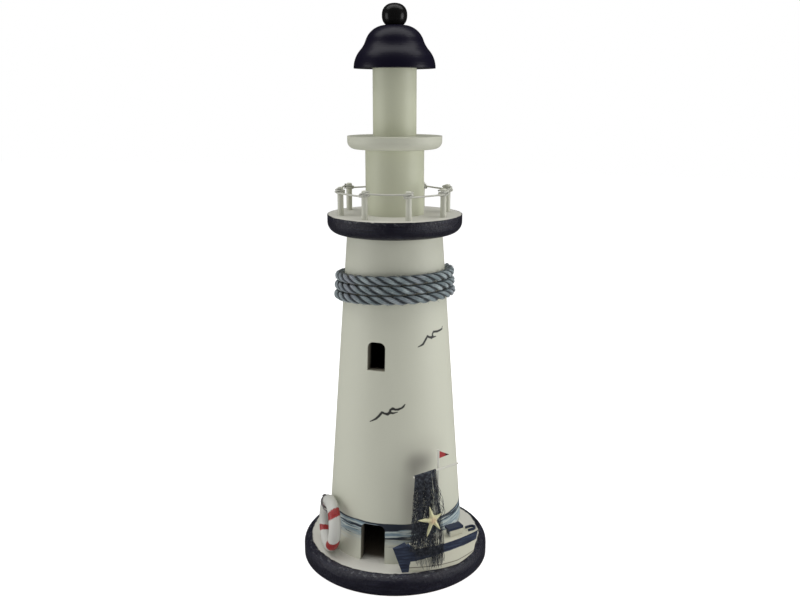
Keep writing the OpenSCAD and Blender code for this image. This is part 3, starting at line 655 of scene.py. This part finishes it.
def makeRopeFibres():
    rng = random.Random(rope["fibreSeed"])
    fibres = []
    for i in range(rope["fibres"]):
        center, out, up = ropePlace(rng.uniform(0, ropeLength))
        roll = rng.uniform(-1.9, 1.9)
        face = out * math.cos(roll) + up * math.sin(roll)
        start = center + face * (rope["radius"] - 0.35)
        heading = out.cross(up) * rng.choice((-1, 1)) + up * rng.uniform(-0.9, 0.9)
        heading = (heading + face * rng.uniform(0.15, 0.7)).normalized()
        length = rng.uniform(1.2, 3.6)
        points = [start + heading * length * s + face * 0.5 * s * (1 - s) for s in (0, 0.35, 0.7, 1)]
        fibres.append(tapered(points))
    for gone, way, reach in zip((0.0, ropeLength), (-1.0, 1.0), rope["endReach"]):  # frayed ends
        center, out, up = ropePlace(gone)
        along = up.cross(out) * way
        for i in range(rope["endFibres"]):
            angle = rng.uniform(0, 2 * math.pi)
            away = rope["radius"] * math.sqrt(rng.random()) * 0.9
            side = out * math.cos(angle) + up * math.sin(angle)
            start = center + side * away - along * 1.5
            length = rng.uniform(0.4, 1.0) * reach
            spread = side * rng.uniform(0.2, 0.8) + up * rng.uniform(-0.25, 0.1)
            points = [start + along * length * s + spread * length * 0.6 * s * s for s in (0, 0.3, 0.6, 1)]
            fibres.append(tapered(points))
    return makeCords("ropeFibres", fibres, rope["fibreRadius"], 4)


def ropeCreviceShade(tree, place):  # painted shade: 1 between the strands and between the turns, by the distance from the middle
    turn, radius, height = useGroup(tree, roundPlace, Place=place)
    fromFront = times(tree, minus(tree, turn, rope["frontTurn"]), math.pi / 180)
    lift = rope["backDrop"] / 2
    course = timesPlus(tree, calc(tree, "COSINE", fromFront), lift, rope["startHeight"] + lift)
    climb = times(tree, minus(tree, turn, rope["startTurn"]), rope["pitch"] / 360)
    level = minus(tree, minus(tree, height, course), climb)
    level = calc(tree, "WRAP", level, rope["pitch"] / 2, -rope["pitch"] / 2)
    middle = timesPlus(tree, height, -tower["slope"], towerRadius(0) + rope["radius"] + rope["offWall"])
    away = aim(tree, "LENGTH", joined(tree, level, minus(tree, radius, middle), 0.0))
    deep = inverse(tree, fade(tree, away, 2.9, 3.75))
    return calc(tree, "MAXIMUM", deep, fade(tree, calc(tree, "ABSOLUTE", level), 2.9, 4.0))


def makeRopeMaterial():
    made, tree, shader = newMaterial(
        "ropeYarn", {"Roughness": 0.85, "Specular IOR Level": 0.25, "Sheen Weight": 0.25},
    )
    place = placeInMm(tree)
    yarns = useGroup(tree, cordYarns, Yarns=9.0)
    wide = fade(tree, noiseOf(tree, place, 0.035, 2.0), 0.45, 0.65)
    patch = fade(tree, noiseOf(tree, place, 0.11), 0.40, 0.66)
    fibre = fade(tree, yarns["Fibre"], 0.35, 0.75)
    groove = inverse(tree, fade(tree, yarns["Ridge"], 0.05, 0.5))
    color = blendColor(tree, patch, rope["color"], rope["pale"])
    color = blendColor(tree, times(tree, wide, 0.6), color, rope["lavender"])
    color = blendColor(tree, times(tree, fibre, 0.45), color, rope["pale"])
    # painted shade, darkest in the grooves between yarns and the crevices between strands and turns
    color = blendColor(tree, times(tree, groove, 0.55), color, rope["gap"])
    color = blendColor(tree, times(tree, ropeCreviceShade(tree, place), 0.85), color, rope["gap"])
    plug(tree, shader.inputs["Base Color"], color)
    bumped(tree, shader, plus(tree, yarns["Ridge"], times(tree, yarns["Fibre"], 0.8)), 0.35, 0.8)
    return made


ropeYarn = makeRopeMaterial()
for piece in (makeRope(), makeRopeFibres()):
    setMaterial(piece, ropeYarn)
    if piece.name == "ropeStrands":
        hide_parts("rope_winding")
print("rope wound")


def makeStringMaterial(name, color, dark):
    made, tree, shader = newMaterial(name, {"Roughness": 0.8, "Specular IOR Level": 0.2})
    yarns = useGroup(tree, cordYarns, Yarns=2.0)
    # painted shade in the grooves between the yarns
    groove = times(tree, inverse(tree, fade(tree, yarns["Ridge"], 0.0, 0.55)), 0.6)
    color = blendColor(tree, times(tree, yarns["Fibre"], 0.4), color, dark)
    plug(tree, shader.inputs["Base Color"], blendColor(tree, groove, color, dark))
    bumped(tree, shader, plus(tree, yarns["Ridge"], times(tree, yarns["Fibre"], 0.5)), 0.2, 0.8)
    return made


# rail cord: one thin string looped round each post, climbing and dropping by turns
rail = {
    "circle": 46.5,
    "firstTurn": 213.0,
    "posts": 8,
    "step": 45.0,
    "height": 329.8,
    "loop": 3.27,
    "rise": 2.1,
    "sag": (0.2, 0.2, 0.2, 0.5, 0.2, 0.2, 0.2, 0.2),
    "radius": 0.75,
    "knotRadius": 0.62,
    "color": (0.56, 0.56, 0.50),
    "dark": (0.30, 0.30, 0.26),
}


def railPoint(turn, angle, level):
    center = turned(turn, rail["circle"], 0)
    return center + turned(turn + angle, rail["loop"], rail["height"] + rail["rise"] * level)


def knotPoints(i, turn):  # two more turns that cross the loop
    points = []
    for k in range(41):
        share = k / 40
        out = rail["loop"] + 0.45 + 0.5 * math.sin(5 * math.pi * share + i)
        height = rail["height"] + mixed(-0.6, 2.9, share) + 0.9 * math.sin(4 * math.pi * share + 0.7 * i)
        points.append(turned(turn, rail["circle"], 0) + turned(turn + 40 * i + 720 * share, out, height))
    return points


def makeRailCord():
    points = []
    knots = []
    past = rail["step"] / 2  # each loop runs on past a full turn to meet its spans
    for i in range(rail["posts"]):
        turn = rail["firstTurn"] + i * rail["step"]
        arrive = 1 - i % 2
        leave = arrive - 1 if i == rail["posts"] - 1 else 1 - arrive
        for k in range(33):
            angle = mixed(-past, 360 + past, k / 32)
            points.append(railPoint(turn, angle, mixed(arrive, leave, angle / 360)))
        left = points[-1]
        nextStart = railPoint(turn + rail["step"], -past, leave)
        for k in range(1, 10):
            share = k / 10
            points.append(left.lerp(nextStart, share) - Vector((0, 0, 4 * rail["sag"][i] * share * (1 - share))))
        knot = knotPoints(i, turn)
        knots.append((knot, [rail["knotRadius"] / rail["radius"]] * len(knot)))
    points.append(nextStart)
    return makeCords("railString", [even(points)] + knots, rail["radius"])


railString = makeRailCord()
setMaterial(railString, makeStringMaterial("railStringPaint", rail["color"], rail["dark"]))
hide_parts("rail_cord")
print("railing strung")


# life ring: white paint with red bands, tied with a slack grey cord
ring = {
    "turn": -41.0,
    "yaw": 13.0,
    "lean": 4.1615,
    "stand": 66.295,
    "height": 41.300,
    "middle": 19.0,
    "section": 5.3,
    "slant": 5.0,
    "bands": ((47.0, 9.5), (137.0, 9.0), (-138.0, 9.0), (-35.0, 14.0)),  # middle and half width in degrees
    "white": (0.600, 0.600, 0.560),
    "dirt": (0.42, 0.42, 0.38),
    "red": (0.420, 0.030, 0.028),
    "deepRed": (0.20, 0.016, 0.018),
    "cordRadius": 0.5,
    "cordColor": (0.20, 0.19, 0.19),
    "cordDark": (0.07, 0.07, 0.08),
    "cordRoute": (  # angle round the ring, roll round its section, slack
        (126, 15, 0), (124, 45, 0), (121, 75, 0), (118, 103, 0.2), (110, 125, 1.4),
        (98, 131, 2.2), (82, 130, 2), (67, 112, 0.5), (56, 90, 0),
    ),
    "cordEnd": ((126, 15, 0), (129, 20, 1.0), (132, 34, 1.1), (134, 30, 0.2)),
    "tieStart": (127.5, 15),
    "tieWidth": 6.6,
    "tieTurns": 3,
}


def turnMatrix(angle, axis):
    return Matrix.Rotation(math.radians(angle), 4, axis)


ringFrame = (
    turnMatrix(ring["turn"], "Z") @ Matrix.Translation((0, -ring["stand"], ring["height"]))
    @ turnMatrix(180 - ring["yaw"], "Z") @ turnMatrix(ring["lean"], "X") @ Matrix.Scale(-1, 4, (1, 0, 0))
)


def makeRingPaint():
    made, tree, shader = newMaterial("ringPaint", {"Roughness": 0.42})
    place = placeInMm(tree)
    grain = useGroup(tree, paintGrain, Place=place, Size=9.0)
    x, y, z = inFrame(tree, place, ringFrame)
    angle = times(tree, calc(tree, "ARCTAN2", z, x), toDegrees)
    out = minus(tree, aim(tree, "LENGTH", joined(tree, x, 0.0, z)), ring["middle"])
    roll = calc(tree, "ARCTAN2", y, out)
    slanted = plus(tree, angle, times(tree, calc(tree, "SINE", roll), ring["slant"]))
    ragged = timesPlus(tree, noiseOf(tree, place, 0.9), 7.0, minus(tree, slanted, 3.5))
    red = None
    for center, half in ring["bands"]:
        off = calc(tree, "ABSOLUTE", minus(tree, ragged, center))
        band = inverse(tree, fade(tree, off, half - 1.5, half + 1.5))
        red = band if red is None else calc(tree, "MAXIMUM", red, band)
    white = blendColor(tree, times(tree, grain["Shade"], 0.3), ring["white"], ring["dirt"])
    deep = blendColor(tree, fade(tree, grain["Relief"], 0.35, 0.7), ring["red"], ring["deepRed"])
    plug(tree, shader.inputs["Base Color"], blendColor(tree, red, white, deep))
    bumped(tree, shader, grain["Relief"], 0.15, 0.5)
    return made


def ringPoint(angle, roll, slack=0.0):
    out = ring["section"] + ring["cordRadius"] + 0.1 + slack
    around = ring["middle"] + out * math.cos(math.radians(roll))
    turn = math.radians(angle)
    side = out * math.sin(math.radians(roll))
    return ringFrame @ Vector((around * math.cos(turn), side, around * math.sin(turn)))


def smoothed(keys, steps):  # a curve through every key
    points = []
    for i in range(len(keys) - 1):
        a, b = keys[max(i - 1, 0)], keys[i]
        c, d = keys[i + 1], keys[min(i + 2, len(keys) - 1)]
        bend = 2 * a - 5 * b + 4 * c - d
        twist = 3 * b - a - 3 * c + d
        for k in range(steps):
            t = k / steps
            points.append(0.5 * ((2 * b) + (c - a) * t + bend * t * t + twist * t ** 3))
    return points + [keys[-1]]


def makeRingCord():
    tie = []
    for k in range(121):
        gone = k / 120
        angle, roll = ring["tieStart"]
        tie.append(ringPoint(angle + ring["tieWidth"] * gone, roll + 360 * ring["tieTurns"] * gone))
    slack = smoothed([ringPoint(*step) for step in ring["cordRoute"]], 5)
    end = smoothed([ringPoint(*step) for step in ring["cordEnd"]], 6)
    return makeCords("ringTie", [even(slack), even(tie), even(end)], ring["cordRadius"])


setMaterial(nodes["life_ring"], makeRingPaint())
ringTie = makeRingCord()
setMaterial(ringTie, makeStringMaterial("ringTieString", ring["cordColor"], ring["cordDark"]))
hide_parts("ring_cord")
print("life ring painted and tied")


# boat: its own frame has x from the bow to the stern, y toward the tower, z up from the base
boat = {
    "turn": 44.0,
    "stand": 69.722,
    "bow": -34.3,
    "length": 79.0,
    "beam": 19.6,
    "side": 21.0,
    "sheer": 5.0,
    "stem": 0.5,
    "transom": 9.0,
    "widestAt": 0.55,
    "mast": 7.5,
    "cabin": 23.8,
    "strake": (12.0, 8.4),  # depth of the navy band at the bow and at the stern
    "bowBlock": -20.3,
    "deckFrom": -17.0,
    "chine": 4.5,
    "cream": (0.640, 0.635, 0.520),
    "dirt": (0.36, 0.33, 0.22),
    "navy": (0.010, 0.016, 0.042),
    "worn": (0.055, 0.085, 0.150),
    "paleFleck": (0.20, 0.24, 0.26),
    "line": (0.10, 0.085, 0.055),
    "windowGrey": (0.22, 0.24, 0.25),
    "pane": (0.010, 0.014, 0.022),
    "pennant": (0.52, 0.045, 0.040),
    "pennantShade": (0.30, 0.02, 0.03),
    "pennantTipShade": (0.06, 0.012, 0.02),
}
boatFrame = turnMatrix(boat["turn"], "Z") @ Matrix.Translation((0, -boat["stand"], tower["footZ"]))


def alongBoat(x):
    return (x - boat["bow"]) / boat["length"]


def deckHeight(s):
    return boat["side"] + boat["sheer"] * s


def halfBeam(s):
    widest = boat["widestAt"]
    if s < widest:
        return mixed(boat["stem"], boat["beam"] / 2, math.sin(math.pi / 2 * max(s, 0) / widest) ** 1.15)
    narrowing = max(0.0, math.cos(math.pi / 2 * (s - widest) / (1 - widest))) ** 0.8
    return mixed(boat["transom"] / 2, boat["beam"] / 2, narrowing)


def creamPaint(tree, grain):
    return blendColor(tree, times(tree, grain["Shade"], 0.35), boat["cream"], boat["dirt"])


def makeHullPaint():
    made, tree, shader = newMaterial("hullPaint", {"Roughness": 0.5})
    place = placeInMm(tree)
    grain = useGroup(tree, paintGrain, Place=place, Size=8.0)
    marks = useGroup(tree, brushMarks, Place=place, Size=0.8, Wear=0.35)
    x, _, z = inFrame(tree, place, boatFrame)
    share = calc(tree, "DIVIDE", minus(tree, x, boat["bow"]), boat["length"])
    deck = timesPlus(tree, share, boat["sheer"], boat["side"])
    wobble = times(tree, minus(tree, noiseOf(tree, place, 0.22), 0.5), 1.6)
    # the band under the deck narrows toward the stern
    depth = blendValue(tree, fade(tree, x, -24.0, 12.0), *boat["strake"])
    strake = fade(tree, plus(tree, minus(tree, z, minus(tree, deck, depth)), wobble), -0.25, 0.25)
    raked = plus(tree, plus(tree, x, wobble), times(tree, z, -0.05))
    bow = inverse(tree, fade(tree, raked, boat["bowBlock"] - 0.3, boat["bowBlock"] + 0.3))
    aft = fade(tree, x, boat["deckFrom"] - 0.2, boat["deckFrom"] + 0.2)
    onDeck = times(tree, fade(tree, minus(tree, z, deck), -0.25, -0.05), aft)
    dark = times(tree, calc(tree, "MAXIMUM", strake, bow), inverse(tree, onDeck))
    navy = blendColor(tree, fade(tree, marks["Marks"], 0.4, 0.75), boat["navy"], boat["worn"])
    navy = blendColor(tree, times(tree, marks["Chips"], 0.6), navy, boat["paleFleck"])
    # a thin line along the chine rises at the stern
    keel = calc(tree, "MAXIMUM", times(tree, minus(tree, share, 0.72), 12.0), 0.0)
    line = between(tree, minus(tree, z, keel), boat["chine"] - 0.7, boat["chine"] + 0.25, 0.2)
    cream = blendColor(tree, times(tree, line, 0.8), creamPaint(tree, grain), boat["line"])
    plug(tree, shader.inputs["Base Color"], blendColor(tree, dark, cream, navy))
    bumped(tree, shader, plus(tree, grain["Relief"], times(tree, marks["Marks"], 0.6)), 0.2, 0.5)
    return made


def makeCabinPaint():
    made, tree, shader = newMaterial("cabinPaint", {"Roughness": 0.5})
    place = placeInMm(tree)
    grain = useGroup(tree, paintGrain, Place=place, Size=6.0)
    x, y, z = inFrame(tree, place, boatFrame)
    raked = plus(tree, x, times(tree, z, 0.045))
    front = inverse(tree, fade(tree, raked, boat["cabin"] - 4.6, boat["cabin"] - 4.2))
    pane = times(tree, between(tree, z, 26.0, 29.0, 0.15), between(tree, y, -2.3, 2.3, 0.15))
    color = blendColor(tree, times(tree, front, 0.8), creamPaint(tree, grain), boat["windowGrey"])
    color = blendColor(tree, times(tree, front, pane), color, boat["pane"])
    plug(tree, shader.inputs["Base Color"], color)
    bumped(tree, shader, grain["Relief"], 0.12, 0.5)
    return made


def makePennantCloth():
    made, tree, shader = newMaterial("pennantCloth", {"Roughness": 0.7})
    place = placeInMm(tree)
    x, _, z = inFrame(tree, place, boatFrame)
    weave = times(tree, *[calc(tree, "SINE", times(tree, way, 12.0)) for way in (x, z)])
    along = timesPlus(tree, noiseOf(tree, place, 0.8), 2.0, x)
    # painted shade: the pennant's tip darkens to near black
    tip = fade(tree, along, boat["mast"] + 6.0, boat["mast"] + 9.0)
    color = blendColor(tree, noiseOf(tree, place, 0.6), boat["pennant"], boat["pennantShade"])
    plug(tree, shader.inputs["Base Color"], blendColor(tree, tip, color, boat["pennantTipShade"]))
    bumped(tree, shader, weave, 0.06, 0.6)
    return made


setMaterial(nodes["boat_hull"], makeHullPaint())
setMaterial(nodes["boat_cabin"], makeCabinPaint())
setMaterial(nodes["boat_pennant"], makePennantCloth())
paintNodes(
    ["cabin_roof", "stern_rail"],
    makePaint("boatNavy", boat["navy"], boat["worn"], roughness=0.45, size=6.0),
)
paintNodes(
    ["boat_mast", "boat_yard"],
    makePaint("stickWhite", (0.66, 0.66, 0.60), (0.40, 0.36, 0.28), roughness=0.6, size=5.0),
)
print("boat painted")


# net: crossing threads of a knotted mesh in crumpled layers, looped over the yard and hung
# down over the gunwale
net = {
    "topX": -15.3,
    "topWidth": 18.9,
    "footX": -20.5,
    "footWidth": 28.0,
    "yardHeight": 88.1,
    "yardTilt": 6.9,
    "yardPlace": -1.9,
    "yardRadius": 0.9,
    "footHeight": 2.0,
    "shortHeight": 18.5,
    "folds": 3,
    "foldDepth": 1.8,
    "radius": 0.19,
    "layers": (  # seed, first and last share of the width, threads, cells, width of a cell, depth, ends
        (1, 0.0, 0.72, 22, 22, 1.05, 0.0, (1.25, 1.4)),
        (2, 0.0, 0.66, 32, 26, 1.05, 0.7, (1.1, 1.3)),
        (3, 0.01, 0.60, 26, 24, 1.05, -0.5, (0.9, 1.0)),
        (5, 0.0, 0.68, 24, 7, 0.6, 1.1, (0.8, 1.4)),
        (6, 0.64, 1.02, 15, 5, 0.9, 0.6, (1.6, 2.0)),
        (7, 0.66, 1.0, 14, 9, 0.8, -0.2, (1.3, 2.0)),
        (8, 0.16, 0.80, 18, 4, 0.5, 0.3, (1.6, 2.0)),
    ),
    "freeThreads": 6,
    "freeSeed": 12,
    "crumpleSeed": 9,
    "cut": (0.092, 0.098),
    "color": (0.015, 0.017, 0.026),
    "pale": (0.070, 0.082, 0.100),
}


def yardLevel(x):
    return net["yardHeight"] + (x - boat["mast"]) * math.tan(math.radians(net["yardTilt"]))


def netPoint(u, v):  # v is below 0 round the yard, 0 at the yard, 1 at the gunwale and 2 at the foot
    topX = net["topX"] + net["topWidth"] * u
    around = net["yardRadius"] + net["radius"] + 0.1
    if v < 0:
        angle = math.radians(-900 * v)
        side = net["yardPlace"] - around * math.cos(angle)
        return Vector((topX, side, yardLevel(topX) + around * math.sin(angle)))
    head = Vector((topX, net["yardPlace"] - around, yardLevel(topX)))
    footX = net["footX"] + net["footWidth"] * u
    s = alongBoat(footX)
    edge = Vector((footX, -(halfBeam(s) + 0.6), deckHeight(s) + 0.3))
    fold = net["foldDepth"] * (0.5 - 0.5 * math.cos(2 * math.pi * net["folds"] * u)) * smooth(v / 0.25)
    fold *= 1 - 0.75 * smooth((v - 0.82) / 0.18)
    if v <= 1:
        return head.lerp(edge, v) - Vector((0, fold, 0))
    end = mixed(net["footHeight"], net["shortHeight"], 1 - smooth(u / 0.3))
    return Vector((edge.x, edge.y - fold, mixed(edge.z, end, v - 1)))


def makeNetThreads(seed, low, high, threads, cells, width, depth, ends):
    rng = random.Random(seed)
    lines = []
    gap = (high - low) / threads
    for i in range(threads + 1):
        base = low + gap * i + 0.3 * gap * rng.uniform(-1, 1)
        end = rng.uniform(*ends)
        points = [boatFrame @ netPoint(base, -0.22 + 0.044 * k) for k in range(5)]
        steps = cells * 4
        for k in range(steps + 1):
            v = end * k / steps
            zig = math.asin(math.sin(2 * math.pi * (v * cells / 2 + 0.5 * (i % 2)))) / math.pi
            crumple = noise.noise_vector(Vector((base * 9.0, v * 5.0, seed)))
            loose = smooth(v * 3)
            u = base + (gap * zig * width + 0.02 * crumple.x) * loose
            spot = netPoint(max(-0.02, min(1.03, u)), v)
            points.append(boatFrame @ (spot + Vector((0.5 * crumple.y, 0.9 * crumple.z - depth, 0)) * loose))
        lines.append(even(points))
    return lines


def makeNetLoops():  # a few threads hang free in bows past the net's outer edge
    rng = random.Random(net["freeSeed"])
    lines = []
    for i in range(net["freeThreads"]):
        top = rng.uniform(0.12, 0.45)
        foot = top + rng.uniform(0.22, 0.4)
        swing = rng.uniform(0.06, 0.2)
        points = []
        for k in range(19):
            share = k / 18
            u = 0.97 + swing * math.sin(math.pi * share) ** 1.4
            points.append(boatFrame @ (netPoint(u, mixed(top, foot, share)) - Vector((0, 0.8 + 0.6 * share, 0))))
        lines.append(even(points))
    return lines


def makeNetMaterial():
    made, tree, shader = newMaterial("netThread", {"Roughness": 0.8})
    place = placeInMm(tree)
    faded = fade(tree, noiseOf(tree, place, 0.5, 4.0), 0.4, 0.7)
    plug(tree, shader.inputs["Base Color"], blendColor(tree, faded, net["color"], net["pale"]))
    bumped(tree, shader, noiseOf(tree, place, 6.0), 0.1, 0.7)
    return made


noise.seed_set(net["crumpleSeed"])  # noise_vector is seeded by the clock without this
netLines = makeNetLoops()
for layer in net["layers"]:
    netLines += makeNetThreads(*layer)
fishingNet = makeCords("fishingNet", netLines, net["radius"], 6)
setMaterial(fishingNet, makeNetMaterial())
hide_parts("fishing_net")
print("net hung")


# starfish: the CAD form made finer, with a grainy skin
starfish = {
    "roughness": 0.22,
    "middle": (-2.3, 47.6),
    "cream": (0.72, 0.71, 0.46),
    "dirt": (0.55, 0.52, 0.29),
    "warm": (0.62, 0.42, 0.26),
}


def makeStarfish():
    mesh = nodes["starfish"].data.copy()
    mesh.name = "starfishSkin"
    work = bmesh.new()
    work.from_mesh(mesh)
    bmesh.ops.remove_doubles(work, verts=work.verts, dist=1e-6)
    bmesh.ops.subdivide_edges(work, edges=work.edges, cuts=2, use_grid_fill=True)
    bmesh.ops.recalc_face_normals(work, faces=work.faces)
    for step in range(2):
        bmesh.ops.smooth_vert(
            work, verts=work.verts, factor=0.35, use_axis_x=True, use_axis_y=True, use_axis_z=True,
        )
    for vert in work.verts:
        vert.co += vert.normal * starfish["roughness"] * mm * noise.noise(vert.co / mm * 1.3)
    work.to_mesh(mesh)
    work.free()
    return addPiece("starfishSkin", mesh)


def makeStarfishMaterial():
    made, tree, shader = newMaterial("starfishSkin", {"Roughness": 0.75})
    place = placeInMm(tree)
    grain = addNode(tree, "TexVoronoi")
    plug(tree, grain.inputs["Vector"], place)
    grain.inputs["Scale"].default_value = 1.1
    x, _, z = inFrame(tree, place, boatFrame)
    acrossIt, upIt = starfish["middle"]
    off = aim(tree, "LENGTH", joined(tree, minus(tree, x, acrossIt), minus(tree, z, upIt), 0.0))
    warm = inverse(tree, fade(tree, off, 0.5, 5.0))
    color = blendColor(tree, noiseOf(tree, place, 0.5), starfish["cream"], starfish["dirt"])
    color = blendColor(tree, times(tree, warm, 0.7), color, starfish["warm"])
    plug(tree, shader.inputs["Base Color"], color)
    bumped(tree, shader, grain.outputs["Distance"], -0.5, 0.7)
    return made


starfishSkin = makeStarfish()
setMaterial(starfishSkin, makeStarfishMaterial())
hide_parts("starfish")
print("starfish set")


# studio: a pale floor, three large soft lamps and an even surround
studio = {
    "surround": 0.30,
    "shine": 0.03,
    "floor": 0.82,
    "floorShine": 0.10,
    "floorSeen": (0.52, 0.54),
    "floorGlow": 0.855,
    "floorSize": 4.0,
    "floorDrop": 0.0002,
    "lamps": {  # place, width and height, power
        "rightLamp": ((1.15, 0.10, 0.32), (0.5, 0.65), 5.3),
        "leftLamp": ((-0.98, -0.60, 0.32), (0.5, 0.65), 3.5),
        "topLamp": ((0.0189, 0.0065, 1.75), (1.0, 3.2), 27.6),
    },
    "lampsAim": (0, 0, 0.2),
}


def makeLamp(name, place, size, power):
    data = bpy.data.lights.new(name, "AREA")
    data.shape = "RECTANGLE"
    data.size, data.size_y = size
    data.energy = power
    lamp = bpy.data.objects.new(name, data)
    lamp.location = place
    lamp.rotation_euler = (Vector(studio["lampsAim"]) - Vector(place)).to_track_quat("-Z", "Y").to_euler()
    collection.objects.link(lamp)


def makeSurround():
    world = bpy.data.worlds.new("studio")
    bpy.context.scene.world = world
    world.use_nodes = True
    sky = world.node_tree
    surround = sky.nodes["Background"]
    surround.inputs["Color"].default_value = (1.0, 1.0, 1.0, 1.0)
    path = addNode(sky, "LightPath").outputs
    level = blendValue(sky, path["Is Glossy Ray"], studio["surround"], studio["shine"])
    plug(sky, surround.inputs["Strength"], blendValue(sky, path["Is Camera Ray"], level, 1.0))


def makeFloor():
    work = bmesh.new()
    bmesh.ops.create_grid(work, x_segments=2, y_segments=2, size=studio["floorSize"])
    mesh = bpy.data.meshes.new("floor")
    work.to_mesh(mesh)
    work.free()
    floor = bpy.data.objects.new("floor", mesh)
    floor.location.z = cadBox[0][2] - studio["floorDrop"]
    collection.objects.link(floor)
    made, tree, shader = newMaterial(
        "floorPaper", {"Roughness": 0.9, "Specular IOR Level": 0.0, "Emission Color": (1.0, 1.0, 1.0)},
    )
    path = addNode(tree, "LightPath").outputs
    eye = path["Is Camera Ray"]
    paper = noiseOf(tree, addNode(tree, "TexCoord").outputs["Object"], 40.0)
    seen = blendColor(tree, paper, *[(level,) * 3 for level in studio["floorSeen"]])
    unseen = blendColor(tree, path["Is Glossy Ray"], (studio["floor"],) * 3, (studio["floorShine"],) * 3)
    plug(tree, shader.inputs["Base Color"], blendColor(tree, eye, unseen, seen))
    plug(tree, shader.inputs["Emission Strength"], times(tree, eye, studio["floorGlow"]))
    setMaterial(floor, made)


for name, values in studio["lamps"].items():
    makeLamp(name, *values)
makeSurround()
makeFloor()
bpy.context.scene.view_settings.view_transform = "Standard"
print("studio lit")
